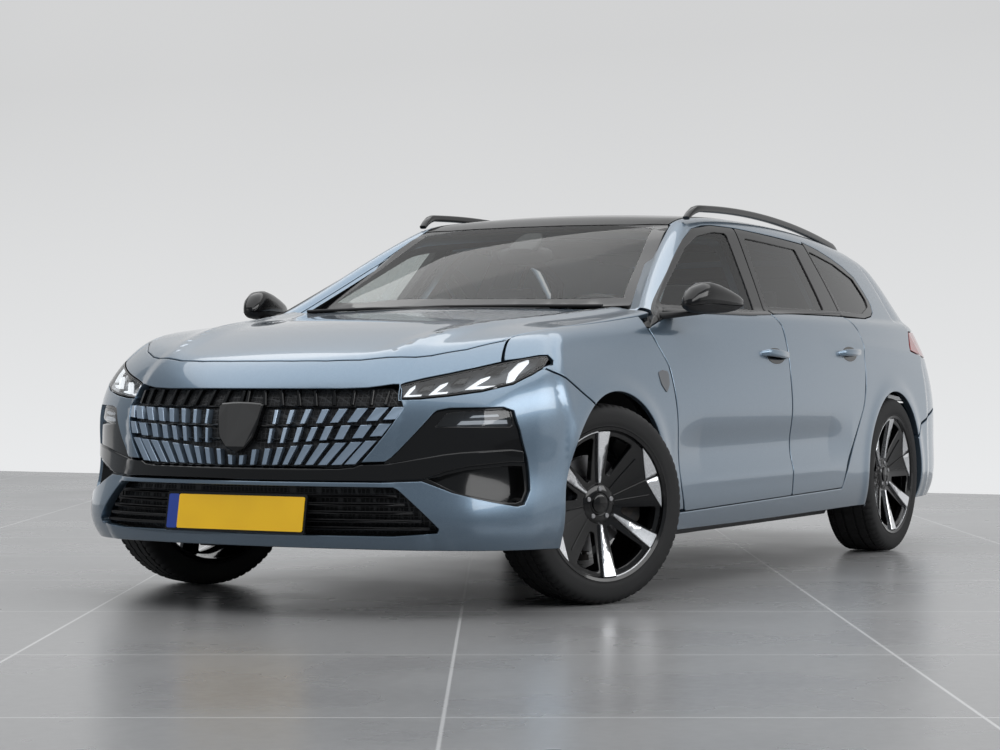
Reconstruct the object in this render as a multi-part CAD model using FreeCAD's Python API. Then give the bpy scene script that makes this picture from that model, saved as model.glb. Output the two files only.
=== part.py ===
"""Five-door station wagon, built as an assembly of separate panels, glass, running gear and trim.

Frame: +X points forward, +Y to the car's left, +Z up. The origin is on the ground, under the middle of the
car's length and width. All sizes are in millimetres.
The body's outer form comes from two stacks of plan outlines (lower body and greenhouse) under a crowned
bonnet and a crowned roof. Every panel is a piece of that wall, cut out by its outline seen from the side.
"""
import FreeCAD
import Part
import math
import os

V = FreeCAD.Vector
OUT_DIR = "parts"
os.makedirs(OUT_DIR, exist_ok=True)

# ---- driving dimensions --------------------------------------------------------------------------
NOSE_X = 2396.5          # foremost point of the bumper
TAIL_X = -2396.5         # rearmost point of the bumper
FRONT_AXLE_X = 1466.0
REAR_AXLE_X = -1327.0
TRACK = 1601.0           # between the tyres' middle planes
TYRE_R = 335.0
TYRE_W = 235.0
RIM_R = 259.0            # outside of the rim's flange
RIM_LIP = 10.0
HUB_R = 78.0
ARCH_R = 377.0           # wheel arch edge
LINER_R = 408.0          # inside of the wheel well
STEER_REST = -24.5       # how far both front wheels are turned as it stands, degrees
KINGPIN_Y = 780.0
GAP = 5.0                # shut line between panels
DECK_X = 1000.0          # the bonnet's curve ends here and the flat deck under the glass begins
DOOR_T = 60.0            # whole thickness of a door
SKIN_T = 14.0            # outer part of a door, out to its shut line
STEP_IN = 15.0           # the door's deeper frame stands back from the shut line
WALL_T = 105.0           # whole thickness of the body side
GLASS_IN = 9.0           # glass lies this far inside the outer form
GLASS_T = 5.0
SEAT_CLEAR = 0.3         # pieces that seat on each other keep this clearance
FLOOR_Z = 185.0          # underside of the floor
FLOOR_T = 45.0
SILL_Z = 210.0
BELT_Z = 1000.0
ROOF_T = 34.0
BONNET_T = 42.0

# ---- outer form: plan outlines, one row a height -------------------------------------------------
# lower body: height, front middle x, front corner x and y, side start x and y, widest y,
#             side end x and y, rear corner x and y, rear middle x
LOWER = [
    # z     xf    xc    yc    xs    ys    ym    xe     ye    xk     yk    xr
    (150, 2300, 2170, 600, 1850, 842, 868, -1850, 845, -2190, 600, -2260),
    (260, 2372, 2250, 638, 1850, 903, 914, -1850, 893, -2270, 640, -2352),
    (450, NOSE_X, 2292, 532, 1855, 910, 927, -1850, 903, -2300, 650, -2388),
    (620, 2376, 2262, 543, 1855, 910, 929.5, -1850, 900, -2300, 650, TAIL_X),
    (780, 2302, 2172, 522, 1850, 868, 922, -1850, 880, -2255, 645, -2345),
    (900, 2222, 2052, 522, 1750, 806, 902, -1850, 843, -2200, 640, -2300),
    (1015, 2122, 1932, 502, 1650, 745, 866, -1800, 800, -2110, 625, -2205),
]
# greenhouse: height, windscreen middle x, its corner x and y, A-pillar x and y, middle y,
#             D-pillar x and y, rear glass corner x and y, rear glass middle x
UPPER = [
    # z     xf    xc    yc    xs    ys   ym    xe     ye    xk    yk    xr
    (1005, 1002, 878, 687, 915, 793, 846, -1685, 792, -2096, 630, -2206),
    (1090, 858, 735, 655, 752, 742, 806, -1640, 755, -2010, 608, -2135),
    (1230, 600, 485, 598, 482, 666, 735, -1560, 690, -1850, 570, -2010),
    (1340, 372, 300, 556, 270, 606, 676, -1450, 628, -1690, 520, -1900),
    (1440, 150, 110, 510, 60, 545, 612, -1350, 560, -1520, 460, -1790),
]
# bonnet and belt surface: x, middle z, z at CROWN_Y from the middle
BONNET = [
    (2430, 690, 590),
    (2330, 765, 672),
    (2230, 818, 735),
    (2080, 868, 795),
    (1850, 922, 868),
    (1450, 972, 925),
    (DECK_X, 1018, 983),
]
# roof surface: x, middle z, z at CROWN_Y from the middle
ROOF = [
    (900, 1180, 1110),
    (400, 1350, 1290),
    (200, 1394, 1340),
    (-150, 1417, 1362),
    (-700, 1408, 1352),
    (-1250, 1372, 1312),
    (-1800, 1305, 1240),
    (-2250, 1230, 1160),
]
CROWN_Y = 900.0


# ---- small geometry helpers ----------------------------------------------------------------------
def prism(points, axis, low, high):
    """Solid over an outline of (a, b) or (a, b, corner radius) points, between low and high along an axis."""
    spots = {"y": lambda a, b: V(a, low, b), "z": lambda a, b: V(a, b, low), "x": lambda a, b: V(low, a, b)}
    corners = [(spots[axis](p[0], p[1]), p[2] if len(p) > 2 else 0.0) for p in points]
    edges, count = [], len(corners)
    starts, ends = [], []
    for i, (here, radius) in enumerate(corners):
        back = corners[i - 1][0] - here
        ahead = corners[(i + 1) % count][0] - here
        turn = back.getAngle(ahead)
        if radius <= 0 or turn > math.pi - 0.02:
            starts.append(here)
            ends.append(here)
            continue
        reach = radius / math.tan(turn / 2)
        back.normalize()
        ahead.normalize()
        middle_way = back + ahead
        middle_way.normalize()
        centre = here + middle_way * (radius / math.sin(turn / 2))
        a, b = here + back * reach, here + ahead * reach
        edges.append(("arc", a, centre - middle_way * radius, b))
        starts.append(a)
        ends.append(b)
    wire, arc_at = [], {tuple(e[1]): e for e in edges}
    for i in range(count):
        if tuple(starts[i]) in arc_at and starts[i] != ends[i]:
            _, a, m, b = arc_at[tuple(starts[i])]
            wire.append(Part.Arc(a, m, b).toShape())
        following = starts[(i + 1) % count]
        if (following - ends[i]).Length > 1e-6:
            wire.append(Part.LineSegment(ends[i], following).toShape())
    face = Part.Face(Part.Wire(Part.sortEdges(wire)[0]))
    way = {"x": V(1, 0, 0), "y": V(0, 1, 0), "z": V(0, 0, 1)}[axis]
    return face.extrude(way * (high - low))


def box(x0, x1, y0, y1, z0, z1):
    return Part.makeBox(x1 - x0, y1 - y0, z1 - z0, V(x0, y0, z0))


def cylinder_y(x, z, radius, y0, y1):
    return Part.makeCylinder(radius, y1 - y0, V(x, y0, z), V(0, 1, 0))


def mirrored(shape):
    return shape.mirror(V(0, 0, 0), V(0, 1, 0))


def fused(shapes):
    whole = shapes[0].multiFuse(shapes[1:]) if len(shapes) > 1 else shapes[0]
    return whole.removeSplitter()


def biggest(shape, keep=1):
    """The largest solids of a shape, so that cutting leaves no crumbs."""
    solids = sorted(shape.Solids, key=lambda s: -s.Volume)[:keep]
    return solids[0] if keep == 1 else Part.makeCompound(solids)


def save(name, shape):
    shape.exportStep(f"{OUT_DIR}/{name}.step")
    kinds = shape.Solids
    print(f"{name:24s} solids {len(kinds)} valid {shape.isValid()} litres {shape.Volume / 1e6:9.3f}")


def bow(a, m, b):
    """Parabola from a to b over m, as an edge."""
    curve = Part.BezierCurve()
    curve.setPoles([a, m * 2 - (a + b) * 0.5, b])
    return curve.toShape()


# ---- outer form ----------------------------------------------------------------------------------
def ring(row, inset):
    """Closed plan outline of one table row, drawn in by inset: arcs for the front, corners, sides and rear."""
    z, xf, xc, yc, xs, ys, ym, xe, ye, xk, yk, xr = row
    slant = inset * 0.7
    xf, ym, xr = xf - inset, ym - inset, xr + inset
    xc, yc, xk, yk = xc - slant, yc - slant, xk + slant, yk - slant
    xs, ys, xe, ye = xs - 0.3 * inset, ys - inset, xe + 0.3 * inset, ye - inset

    def bulged(x0, y0, x1, y1, share):
        mx, my, dx, dy = (x0 + x1) / 2, (y0 + y1) / 2, x1 - x0, y1 - y0
        side = 1 if (mx - 0) * (-dy) + my * dx < 0 else -1
        return V(mx + side * share * dy, my - side * share * dx, z)

    points = [V(xs, -ys, z), V(xc, -yc, z), V(xc, yc, z), V(xs, ys, z), V(xe, ye, z), V(xk, yk, z),
              V(xk, -yk, z), V(xe, -ye, z)]
    front, rear = bulged(xc, yc, xs, ys, 0.10), bulged(xe, ye, xk, yk, 0.10)
    middles = [V(front.x, -front.y, z), V(xf, 0, z), front, V((xs + xe) / 2, ym, z), rear, V(xr, 0, z),
               V(rear.x, -rear.y, z), V((xs + xe) / 2, -ym, z)]
    edges = [bow(a, m, b) for a, m, b in zip(points, middles, points[1:] + points[:1])]
    return Part.Wire(edges)


def crowned(rows, base_z, drop, reach):
    """Solid below a surface that is an arc across the car at each table row."""
    wires = []
    for x, middle, side in rows:
        a, m, b = V(x, -reach, side - drop), V(x, 0, middle - drop), V(x, reach, side - drop)
        down, up = V(x, reach, base_z), V(x, -reach, base_z)
        wires.append(Part.Wire([bow(a, m, b), Part.LineSegment(b, down).toShape(),
                                Part.LineSegment(down, up).toShape(), Part.LineSegment(up, a).toShape()]))
    return Part.makeLoft(wires, True, True)


def crown_rows(rows):
    """Table rows with their side height moved out from CROWN_Y along the same arc's parabola."""
    reach = CROWN_Y * 1.2
    return [(x, middle, middle - (middle - side) * (reach / CROWN_Y) ** 2) for x, middle, side in rows], reach


def lower_body(inset, drop):
    stack = Part.makeLoft([ring(row, inset) for row in LOWER], True, True)
    rows, reach = crown_rows(BONNET)
    front = crowned(rows, 100, drop, reach)
    cabin = box(TAIL_X - 50, DECK_X, -reach, reach, 100, LOWER[-1][0] - drop)
    return stack.common(front.fuse(cabin))


def greenhouse(inset, drop):
    rings = [ring(row, inset) for row in UPPER]
    if inset:
        rings[0].translate(V(0, 0, -45))
    stack = Part.makeLoft(rings, True, True)
    rows, reach = crown_rows(ROOF)
    return stack.common(crowned(rows, 900, drop, reach))


_forms = {}


def form(inset):
    """The whole outer form drawn in by a wall thickness; the roof and bonnet skins thin at most to theirs."""
    if inset not in _forms:
        roof_drop = min(inset, ROOF_T)
        bonnet_drop = min(inset, BONNET_T)
        _forms[inset] = lower_body(inset, bonnet_drop).fuse(greenhouse(inset, roof_drop))
    return _forms[inset]


_shells = {}


def shell(outer, inner):
    """The layer of wall between two depths below the outer form."""
    if (outer, inner) not in _shells:
        _shells[outer, inner] = form(outer).cut(form(inner))
    return _shells[outer, inner]


def outline_prism(points, axis, low, high, grow=0.0):
    """Prism over an outline, grown outwards by a gap (or drawn in by a negative one)."""
    solid = prism(points, axis, low, high)
    if not grow:
        return solid
    flat = [f for f in solid.Faces if abs(f.normalAt(0, 0).dot({"x": V(1, 0, 0), "y": V(0, 1, 0),
                                                               "z": V(0, 0, 1)}[axis])) > 0.999]
    base = min(flat, key=lambda f: {"x": f.CenterOfMass.x, "y": f.CenterOfMass.y, "z": f.CenterOfMass.z}[axis])
    grown = base.OuterWire.makeOffset2D(grow, 2)
    return Part.Face(grown).extrude({"x": V(1, 0, 0), "y": V(0, 1, 0), "z": V(0, 0, 1)}[axis] * (high - low))


# ---- panel outlines seen from the left side: x, z, corner radius ---------------------------------
FRONT_DOOR = [(949, 284, 20), (994, 379), (1018, 600), (1035, 791, 60), (1108, 926, 8), (944, 1004, 20),
              (572, 1184, 500), (365, 1280, 300), (216, 1334, 200), (50, 1356, 200), (-140, 1354, 10),
              (-6, 1024, 10), (-42, 941, 80), (-47, 760), (-66, 484, 100), (-66, 296, 12)]
REAR_DOOR = [(-75, 296, 12), (-77, 484, 100), (-60, 760), (-67, 940, 20), (-20, 1020, 40), (-151, 1354, 10),
             (-790, 1318, 12), (-845, 1036, 8), (-957, 952, 30), (-946, 792, 60), (-905, 640, 200),
             (-690, 400, 60), (-640, 303, 20)]
FRONT_GLASS = [(880, 1022, 6), (575, 1156), (372, 1250, 300), (225, 1300, 200), (70, 1324, 200), (-36, 1324, 10),
               (100, 1020, 8)]
REAR_GLASS = [(-42, 1036, 8), (-180, 1312, 10), (-655, 1288, 10), (-662, 1038, 8)]
QUARTER_GLASS = [(-882, 1038, 10), (-812, 1290, 12), (-1075, 1245), (-1262, 1186, 20), (-1340, 1076, 30),
                 (-1180, 1036, 30)]
FENDER = [(1954, 878), (1800, 762), (1655, 672), (1655, 212), (954, 212), (954, 286), (999, 379),
          (1023, 600), (1040, 791, 60), (1113, 926, 8), (1020, 1002), (1000, 1060), (1954, 1060)]
LAMP_SIDE = [(-1659, 879), (-1752, 968), (-2330, 968), (-2330, 838), (-1942, 846)]
# bonnet seen from above: x, y (left half)
BONNET_PLAN = [(2268, 0), (2222, 300), (2130, 540, 120), (1913, 717, 160), (1500, 778), (1100, 806),
               (1004, 808, 10), (1040, 560), (1078, 300), (1088, 0)]
WINDSCREEN_FRONT = [(0, 1020), (500, 1014), (676, 1024, 10), (548, 1346, 20), (300, 1376), (0, 1382)]
HEADLAMP_FRONT = [(478, 668, 6), (520, 742, 10), (700, 776), (868, 812, 4), (872, 792, 4), (766, 720, 20),
                  (620, 692)]
GRILLE_FRONT = [(0, 470), (352, 482, 10), (512, 655, 10), (470, 704, 10), (0, 718)]
INTAKE_FRONT = [(0, 262), (470, 262, 20), (634, 276, 12), (478, 412, 12), (0, 418)]
# rows of slanted grille bars: low and high z, first bar's y, pitch, half width, how much wider the last one is
GRILLE_ROWS = [
    (478, 520, 30, 44, 7, 0.5),
    (528, 582, 84, 44, 8, 0.5),
    (590, 648, 84, 44, 8, 0.5),
    (656, 700, 66, 30, 4, 0.3),
]
GRILLE_COLUMNS = 10
GRILLE_LEAN = 0.75       # how far the outermost bars lean outwards, over their height
GRILLE_IN = 28.0         # the backing plate's face lies this far inside the outer form
GRILLE_PROUD = 6.0       # and the bars' faces this far
SHIELD = [(0, 548), (34, 566), (52, 600), (56, 664), (46, 672), (0, 676)]
CORNER_INTAKE = [(452, 436), (466, 505), (632, 654, 12), (803, 660, 12), (839, 537), (853, 392), (842, 355),
                 (569, 434)]
CORNER_POCKET = [(590, 446), (850, 500), (852, 392), (842, 362)]
TRIM_IN = 10.0           # the black corner trim lies this far inside the outer form
TAILGATE_REAR = [(0, 645), (540, 645, 60), (622, 760, 60), (640, 960, 40), (606, 1060), (532, 1262, 30),
                 (505, 1420), (0, 1420)]
TAILGATE_HINGE = (-1624.0, 1319.0)
HINGE_R = 7.0
TAILGATE_GLASS_REAR = [(0, 1020), (560, 1026, 40), (488, 1240, 40), (0, 1262)]


def mirrored_outline(points, swap):
    """Whole outline from its left half; swap says which of the two values is the one across the car."""
    def flip(p):
        p = list(p)
        p[swap] = -p[swap]
        return tuple(p)
    return list(points) + [flip(p) for p in reversed(points) if abs(p[swap]) > 1e-6]


bonnet_tool = outline_prism(mirrored_outline(BONNET_PLAN, 1), "z", 700, 1200)
bonnet_pocket = outline_prism(mirrored_outline(BONNET_PLAN, 1), "z", 600, 1200, GAP)
arches = []
for axle_x, arch_z, radius in ((FRONT_AXLE_X + 15, TYRE_R, ARCH_R - 3), (REAR_AXLE_X + 13, TYRE_R - 3, 362)):
    arches.append(cylinder_y(axle_x, arch_z, radius, 560, 1100))
wells = [cylinder_y(FRONT_AXLE_X, TYRE_R, LINER_R, 480, 868), cylinder_y(REAR_AXLE_X, TYRE_R, LINER_R - 30, 600, 868)]

# the tailgate lies behind this line seen from the side, so that the pillars stay on the body: x, z
TAILGATE_SIDE = [(-1628, 1500), (-1628, 1340), (-1800, 1225), (-1955, 1085), (-2045, 1000), (-2130, 900),
                 (-2235, 640), (-2600, 640), (-2600, 1500)]
tailgate_tool = outline_prism(mirrored_outline(TAILGATE_REAR, 0), "x", -2600, -1600).common(
    outline_prism(TAILGATE_SIDE, "y", -800, 800))
tailgate_core = outline_prism(mirrored_outline(TAILGATE_REAR, 0), "x", -2600, -1600, -STEP_IN).common(
    outline_prism(TAILGATE_SIDE, "y", -800, 800, -STEP_IN))
tailgate_pocket = outline_prism(mirrored_outline(TAILGATE_REAR, 0), "x", -2600, -1600, GAP).common(
    outline_prism(TAILGATE_SIDE, "y", -800, 800, GAP))
FRONT_BUMPER_SIDE = [(1959, 900), (1959, 875), (1800, 755), (1655, 665), (1655, 150), (2500, 150), (2500, 900)]
REAR_BUMPER_SIDE = [(-2500, 640), (-2060, 640), (-1680, 560), (-1560, 560), (-1560, 150), (-2500, 150)]


# the doors' inner limit seen from the front, so that the frames stay beside the windscreen pillar: y, z
DOOR_LIMIT = [(1100, 150), (1100, 1500), (535, 1500), (582, 1345), (644, 1184), (742, 1004), (742, 960), (500, 960),
              (500, 150)]
door_space = outline_prism(DOOR_LIMIT, "x", -1500, 1500)
pocket_space = outline_prism(DOOR_LIMIT, "x", -1500, 1500, GAP)


def stepped(whole, inner_part, depth):
    """Panel whose outer skin fills one tool and whose deeper frame a smaller one, so that it swings clear."""
    return fused([shell(0, SKIN_T).common(whole), shell(SKIN_T, depth).common(inner_part)])


def side_panels(outline, depth, glass):
    tools = [outline_prism(outline, "y", 500, 1100, grow).common(door_space) for grow in (0, -STEP_IN)]
    return biggest(stepped(*tools, depth).cut(outline_prism(glass, "y", 500, 1100)))


def window_pane(outline, room=None):
    tool = outline_prism(outline, "y", 500, 1100, -SEAT_CLEAR)
    return biggest(shell(GLASS_IN, GLASS_IN + GLASS_T).common(tool if room is None else tool.common(room)))


# ---- doors, glass, fenders -----------------------------------------------------------------------
LEFT = {}
LEFT["door_front"] = side_panels(FRONT_DOOR, DOOR_T, FRONT_GLASS)
ear_room = box(985, 1140, 700, 838, 780, 1010)
LEFT["door_front"] = biggest(LEFT["door_front"].cut(ear_room))
LEFT["door_rear"] = side_panels(REAR_DOOR, DOOR_T, REAR_GLASS).cut(arches[1])
LEFT["glass_front"] = window_pane(FRONT_GLASS, door_space)
LEFT["glass_rear"] = window_pane(REAR_GLASS, door_space)
fender = shell(0, DOOR_T).common(outline_prism(FENDER, "y", 600, 1100))
headlamp_box = outline_prism(HEADLAMP_FRONT, "x", 1860, 2450)
headlamp_hole = outline_prism(HEADLAMP_FRONT, "x", 1856, 2450, SEAT_CLEAR)
LEFT["fender"] = biggest(fender.cut([arches[0], bonnet_pocket, headlamp_hole]))

# ---- body side: sill, pillars, rear quarter ------------------------------------------------------
wall = shell(0, WALL_T).common(box(-2330, 1108, 380, 1100, SILL_Z, 1500))
pockets = [outline_prism(door, "y", 500, 1100, GAP).common(pocket_space) for door in (FRONT_DOOR, REAR_DOOR)]
deep = form(DOOR_T + GAP)
fender_room = outline_prism(FENDER, "y", 560, 1100, SEAT_CLEAR)
FRONT_APERTURE = [(905, 340, 40), (950, 600), (940, 860, 60), (860, 990, 60), (560, 1140), (350, 1240, 300),
                  (210, 1290, 200), (50, 1312, 200), (-105, 1310, 30), (20, 1010, 60), (-15, 900), (-25, 340, 40)]
REAR_APERTURE = [(-120, 340, 40), (-110, 900), (-45, 1010, 60), (-180, 1310, 30), (-745, 1275, 40),
                 (-800, 1050, 60), (-880, 900, 80), (-850, 740, 100), (-640, 440, 60), (-600, 340, 40)]
roof_tool = prism(mirrored_outline([(330, 0), (300, 400), (262, 545), (100, 560), (-700, 585), (-1400, 560),
                                    (-1612, 505), (-1612, 0)], 1), "z", 1200, 1500)
roof_room = prism(mirrored_outline([(331, 0), (301, 400), (263, 545.3), (100, 560.3), (-700, 585.3),
                                    (-1400, 560.3), (-1612.3, 505), (-1612.3, 0)], 1), "z", 1200, 1500)
rear_lamp_tool = outline_prism(LAMP_SIDE, "y", 300, 1100)
rear_lamp_room = outline_prism(LAMP_SIDE, "y", 300, 1100, SEAT_CLEAR)
windscreen_tool = outline_prism(mirrored_outline(WINDSCREEN_FRONT, 0), "x", 150, 1150)
windscreen_room = outline_prism(mirrored_outline(WINDSCREEN_FRONT, 0), "x", 140, 1150, SEAT_CLEAR)
openings = [outline_prism(outline, "y", 380, 1100) for outline in (FRONT_APERTURE, REAR_APERTURE, QUARTER_GLASS)]
openings += [box(850, 1140, 762, 1100, 780, 1008), box(-70, 70, 770, 1100, 930, 1060)]
openings += [roof_room, tailgate_pocket, windscreen_room, bonnet_pocket, arches[1]] + wells
side = wall.cut(openings)
side = side.cut([pockets[0].fuse(pockets[1]).fuse(fender_room).cut(deep), rear_lamp_room.cut(form(70)),
                 prism(REAR_BUMPER_SIDE, "y", 300, 1100).cut(form(DOOR_T + 20))])
LEFT["side_frame"] = biggest(side)

names = {"door_front": "door_front", "door_rear": "door_rear", "glass_front": "glass_front_door",
         "glass_rear": "glass_rear_door", "fender": "fender", "side_frame": "side_frame"}
for key, name in names.items():
    save(f"{name}_left", LEFT[key])
    save(f"{name}_right", mirrored(LEFT[key]))

# ---- roof, screens, bonnet, tailgate -------------------------------------------------------------
roof = shell(0, ROOF_T).common(roof_tool).cut([windscreen_room, tailgate_pocket])


def hinge_leaf(y0, y1, x0, x1):
    """One barrel on the tailgate's axis with the leaf that carries it, sunk into the skin's thickness."""
    x, z = TAILGATE_HINGE
    barrel = cylinder_y(x, z, HINGE_R, y0, y1)
    return barrel.fuse(box(min(x0, x1), max(x0, x1), y0, y1, z - 20, z - 6))


roof_leaf = hinge_leaf(140, 170, TAILGATE_HINGE[0], -1600)
gate_leaf = hinge_leaf(170 + SEAT_CLEAR, 200, -1705, TAILGATE_HINGE[0])
gate_notch = box(-1640, -1620, 134, 170 + SEAT_CLEAR, 1280, 1345)
roof = fused([biggest(roof), roof_leaf, mirrored(roof_leaf)])
save("roof_panel", biggest(roof))
windscreen = biggest(shell(GLASS_IN, GLASS_IN + GLASS_T + 1).common(windscreen_tool))
save("windscreen", windscreen)
quarter = window_pane(QUARTER_GLASS)
save("quarter_glass", Part.makeCompound([quarter, mirrored(quarter)]))
save("bonnet", biggest(shell(0, BONNET_T).common(bonnet_tool)))
tailgate_skin = stepped(tailgate_tool, tailgate_core, DOOR_T)
rear_glass_tool = outline_prism(mirrored_outline(TAILGATE_GLASS_REAR, 0), "x", -2600, -1700)
rear_glass_fit = outline_prism(mirrored_outline(TAILGATE_GLASS_REAR, 0), "x", -2600, -1700, -SEAT_CLEAR)
tailgate = biggest(tailgate_skin.cut([rear_glass_tool, gate_notch, mirrored(gate_notch)]))
save("tailgate", fused([tailgate, gate_leaf, mirrored(gate_leaf)]))
save("tailgate_glass", biggest(shell(GLASS_IN, GLASS_IN + GLASS_T).common(rear_glass_fit)))

# ---- bumpers, grille, lamps ----------------------------------------------------------------------
bumper = shell(0, DOOR_T).common(prism(FRONT_BUMPER_SIDE, "y", -1100, 1100)).common(
    box(1600, 2500, -1100, 1100, 195, 900))
grille_hole = outline_prism(mirrored_outline(GRILLE_FRONT, 0), "x", 2100, 2450)
intake_hole = outline_prism(mirrored_outline(INTAKE_FRONT, 0), "x", 2050, 2450)
corner_hole = outline_prism(CORNER_INTAKE, "x", 1850, 2450)
bumper = bumper.cut([arches[0], mirrored(arches[0]), bonnet_pocket, headlamp_hole, mirrored(headlamp_hole),
                     grille_hole, intake_hole, corner_hole, mirrored(corner_hole)])
save("front_bumper", biggest(bumper))
trim = biggest(shell(TRIM_IN, TRIM_IN + 30).common(outline_prism(CORNER_INTAKE, "x", 1850, 2450, -SEAT_CLEAR)).cut(
    outline_prism(CORNER_POCKET, "x", 1850, 2450, -8)))
save("corner_trims", Part.makeCompound([trim, mirrored(trim)]))
lamp = biggest(shell(3, 90).common(headlamp_box).cut(bonnet_pocket))
save("headlamps", Part.makeCompound([lamp, mirrored(lamp)]))
rear_bumper = shell(0, DOOR_T).common(prism(REAR_BUMPER_SIDE, "y", -1100, 1100)).common(
    box(-2500, -1560, -1100, 1100, 215, 700))
rear_bumper = rear_bumper.cut([arches[1], mirrored(arches[1]), tailgate_pocket])
save("rear_bumper", biggest(rear_bumper))
tail_lamp = biggest(shell(0, 65).common(rear_lamp_tool).cut(tailgate_pocket))
save("tail_lamps", Part.makeCompound([tail_lamp, mirrored(tail_lamp)]))

# ---- wheels, brakes and the pieces that carry them -----------------------------------------------
WHEEL_Y = TRACK / 2
BEAD_Y = TYRE_W / 2 - 16
SHOULDER_Y = TYRE_W / 2 - 14
BARREL_T = 14.0
TYRE_PROFILE = [(RIM_R - 8, -BEAD_Y), (TYRE_R, -SHOULDER_Y), (TYRE_R, SHOULDER_Y), (RIM_R - 8, BEAD_Y)]
BARREL_PROFILE = [(RIM_R - 8.3, -BEAD_Y), (RIM_R - 8.3 - BARREL_T, -BEAD_Y), (RIM_R - 8.3 - BARREL_T, BEAD_Y + 4),
                  (RIM_R, BEAD_Y + 4), (RIM_R - 8.3, BEAD_Y + 0.3)]
# spokes seen from outside: angle, half width at the hub and at the barrel, y of the face at the hub and at the barrel,
#                           depth. Four narrow wedges stand proud of two broad blades.
SPOKES = [
    (93, 6, 27, 64, 99, 40),
    (147, 6, 27, 64, 99, 40),
    (273, 6, 27, 64, 99, 40),
    (327, 6, 27, 64, 99, 40),
    (22, 26, 96, 52, 92, 18),
    (202, 26, 96, 52, 92, 18),
]
DISC_R = 160.0
DISC_Y = -6.0            # brake disc's middle plane, outwards from the tyre's
DISC_HALF = 11.0
KNUCKLE_BOTTOM = 168.0
STRUT_Y = 560.0
STRUT_TOP = 738.0
CALIPER_CLEAR = 6.0


def turned(profile):
    """Ring about the Y axis from an outline of radius and y."""
    points = [V(r, y, 0) for r, y in profile]
    return Part.Face(Part.makePolygon(points + points[:1])).revolve(V(0, 0, 0), V(0, 1, 0), 360)


def spoke(angle, root_half, tip_half, y_root, y_tip, thick):
    """Radial blade from the hub into the barrel, outwards dished, at an angle seen from outside."""
    root = HUB_R - 12
    reach = RIM_R - 8.3 - BARREL_T / 2
    front = [V(root, y_root, 0), V(reach, y_tip, 0), V(reach, y_tip - thick, 0), V(root, y_root - thick, 0)]
    flat = Part.Face(Part.makePolygon(front + front[:1])).extrude(V(0, 0, 2 * tip_half))
    flat.translate(V(0, 0, -tip_half))
    wedge = prism([(40, -root_half), (reach, -tip_half), (reach, tip_half), (40, root_half)], "y", -200, 200)
    blade = flat.common(wedge).common(cylinder_y(0, 0, reach, -200, 200))
    blade.rotate(V(0, 0, 0), V(0, 1, 0), -angle)
    return blade


def rim_shape():
    pieces = [turned(BARREL_PROFILE), turned([(30, 66), (HUB_R, 60), (HUB_R, 0), (30, 0)]),
              Part.makeCylinder(31, 66, V(0, 0, 0), V(0, 1, 0)),
              turned([(28, DISC_Y + DISC_HALF), (DISC_R, DISC_Y + DISC_HALF), (DISC_R, DISC_Y - DISC_HALF),
                      (28, DISC_Y - DISC_HALF)])]
    for angle, root_half, tip_half, y_root, y_tip, depth in SPOKES:
        pieces.append(spoke(angle, root_half, tip_half, y_root, y_tip, depth))
    return fused(pieces)


def knuckle_shape():
    """Upright with spindle and caliper about the wheel's middle; the disc runs in the caliper's slot."""
    slot = DISC_HALF + CALIPER_CLEAR
    upright = prism([(-45, -150), (45, -150), (55, 0), (40, 130), (-40, 130), (-55, 0)], "y", -75, -30)
    spindle = Part.makeCylinder(24, 38, V(0, -32, 0), V(0, 1, 0))
    caliper = prism([(-205, -70, 20), (-105, -60), (-105, 60), (-205, 70, 20)], "y", -62, 24)
    caliper = caliper.cut(Part.makeCylinder(DISC_R + 8, 2 * slot, V(0, DISC_Y - slot, 0), V(0, 1, 0)))
    bracket = box(-130, -40, -75, -50, -40, 40)
    foot = KNUCKLE_BOTTOM - TYRE_R
    ear = box(-22, 22, -75, -22, foot, foot + 22)
    return fused([upright, spindle, biggest(caliper), bracket, ear])


tyre, rim, upright = turned(TYRE_PROFILE), rim_shape(), knuckle_shape()
rim = rim.cut(Part.makeCylinder(24.3, 60, V(0, -50, 0), V(0, 1, 0)))
ball_joint = Part.makeCylinder(16, 30, V(0, -53, -180), V(0, 0, 1))
for end, axle_x in (("front", FRONT_AXLE_X), ("rear", REAR_AXLE_X)):
    for side_name, sign in (("left", 1), ("right", -1)):
        for kind, shape in (("tyre", tyre), ("rim", rim), ("knuckle", upright)):
            if kind == "knuckle" and end == "rear":
                continue
            placed = shape.copy() if sign > 0 else mirrored(shape)
            placed.translate(V(axle_x, sign * WHEEL_Y, TYRE_R))
            if end == "front":
                placed.rotate(V(FRONT_AXLE_X, sign * KINGPIN_Y, 0), V(0, 0, 1), STEER_REST)
            save(f"knuckle_{side_name}" if kind == "knuckle" else f"{kind}_{end}_{side_name}", placed)

# ---- underbody -----------------------------------------------------------------------------------
inner = form(WALL_T + SEAT_CLEAR)
REAR_FLOOR_Z = 395.0
floor = prism([(955, FLOOR_Z), (955, FLOOR_Z + FLOOR_T), (-820, FLOOR_Z + FLOOR_T), (-960, REAR_FLOOR_Z + 40),
               (-2280, REAR_FLOOR_Z + 40), (-2280, REAR_FLOOR_Z), (-950, REAR_FLOOR_Z), (-820, FLOOR_Z)],
              "y", -815, 815).common(inner)
tub = cylinder_y(REAR_AXLE_X, TYRE_R, LINER_R - 30, 598, 825)
tub_wall = cylinder_y(REAR_AXLE_X, TYRE_R, LINER_R - 5, 575, 812).cut(tub).common(inner)
tub_wall = tub_wall.cut(box(-2000, -700, 500, 900, 0, REAR_FLOOR_Z))
floor = floor.cut(tub).cut(mirrored(tub))
floor = biggest(fused([floor, tub_wall, mirrored(tub_wall)]))
save("floor_pan", floor)
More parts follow.
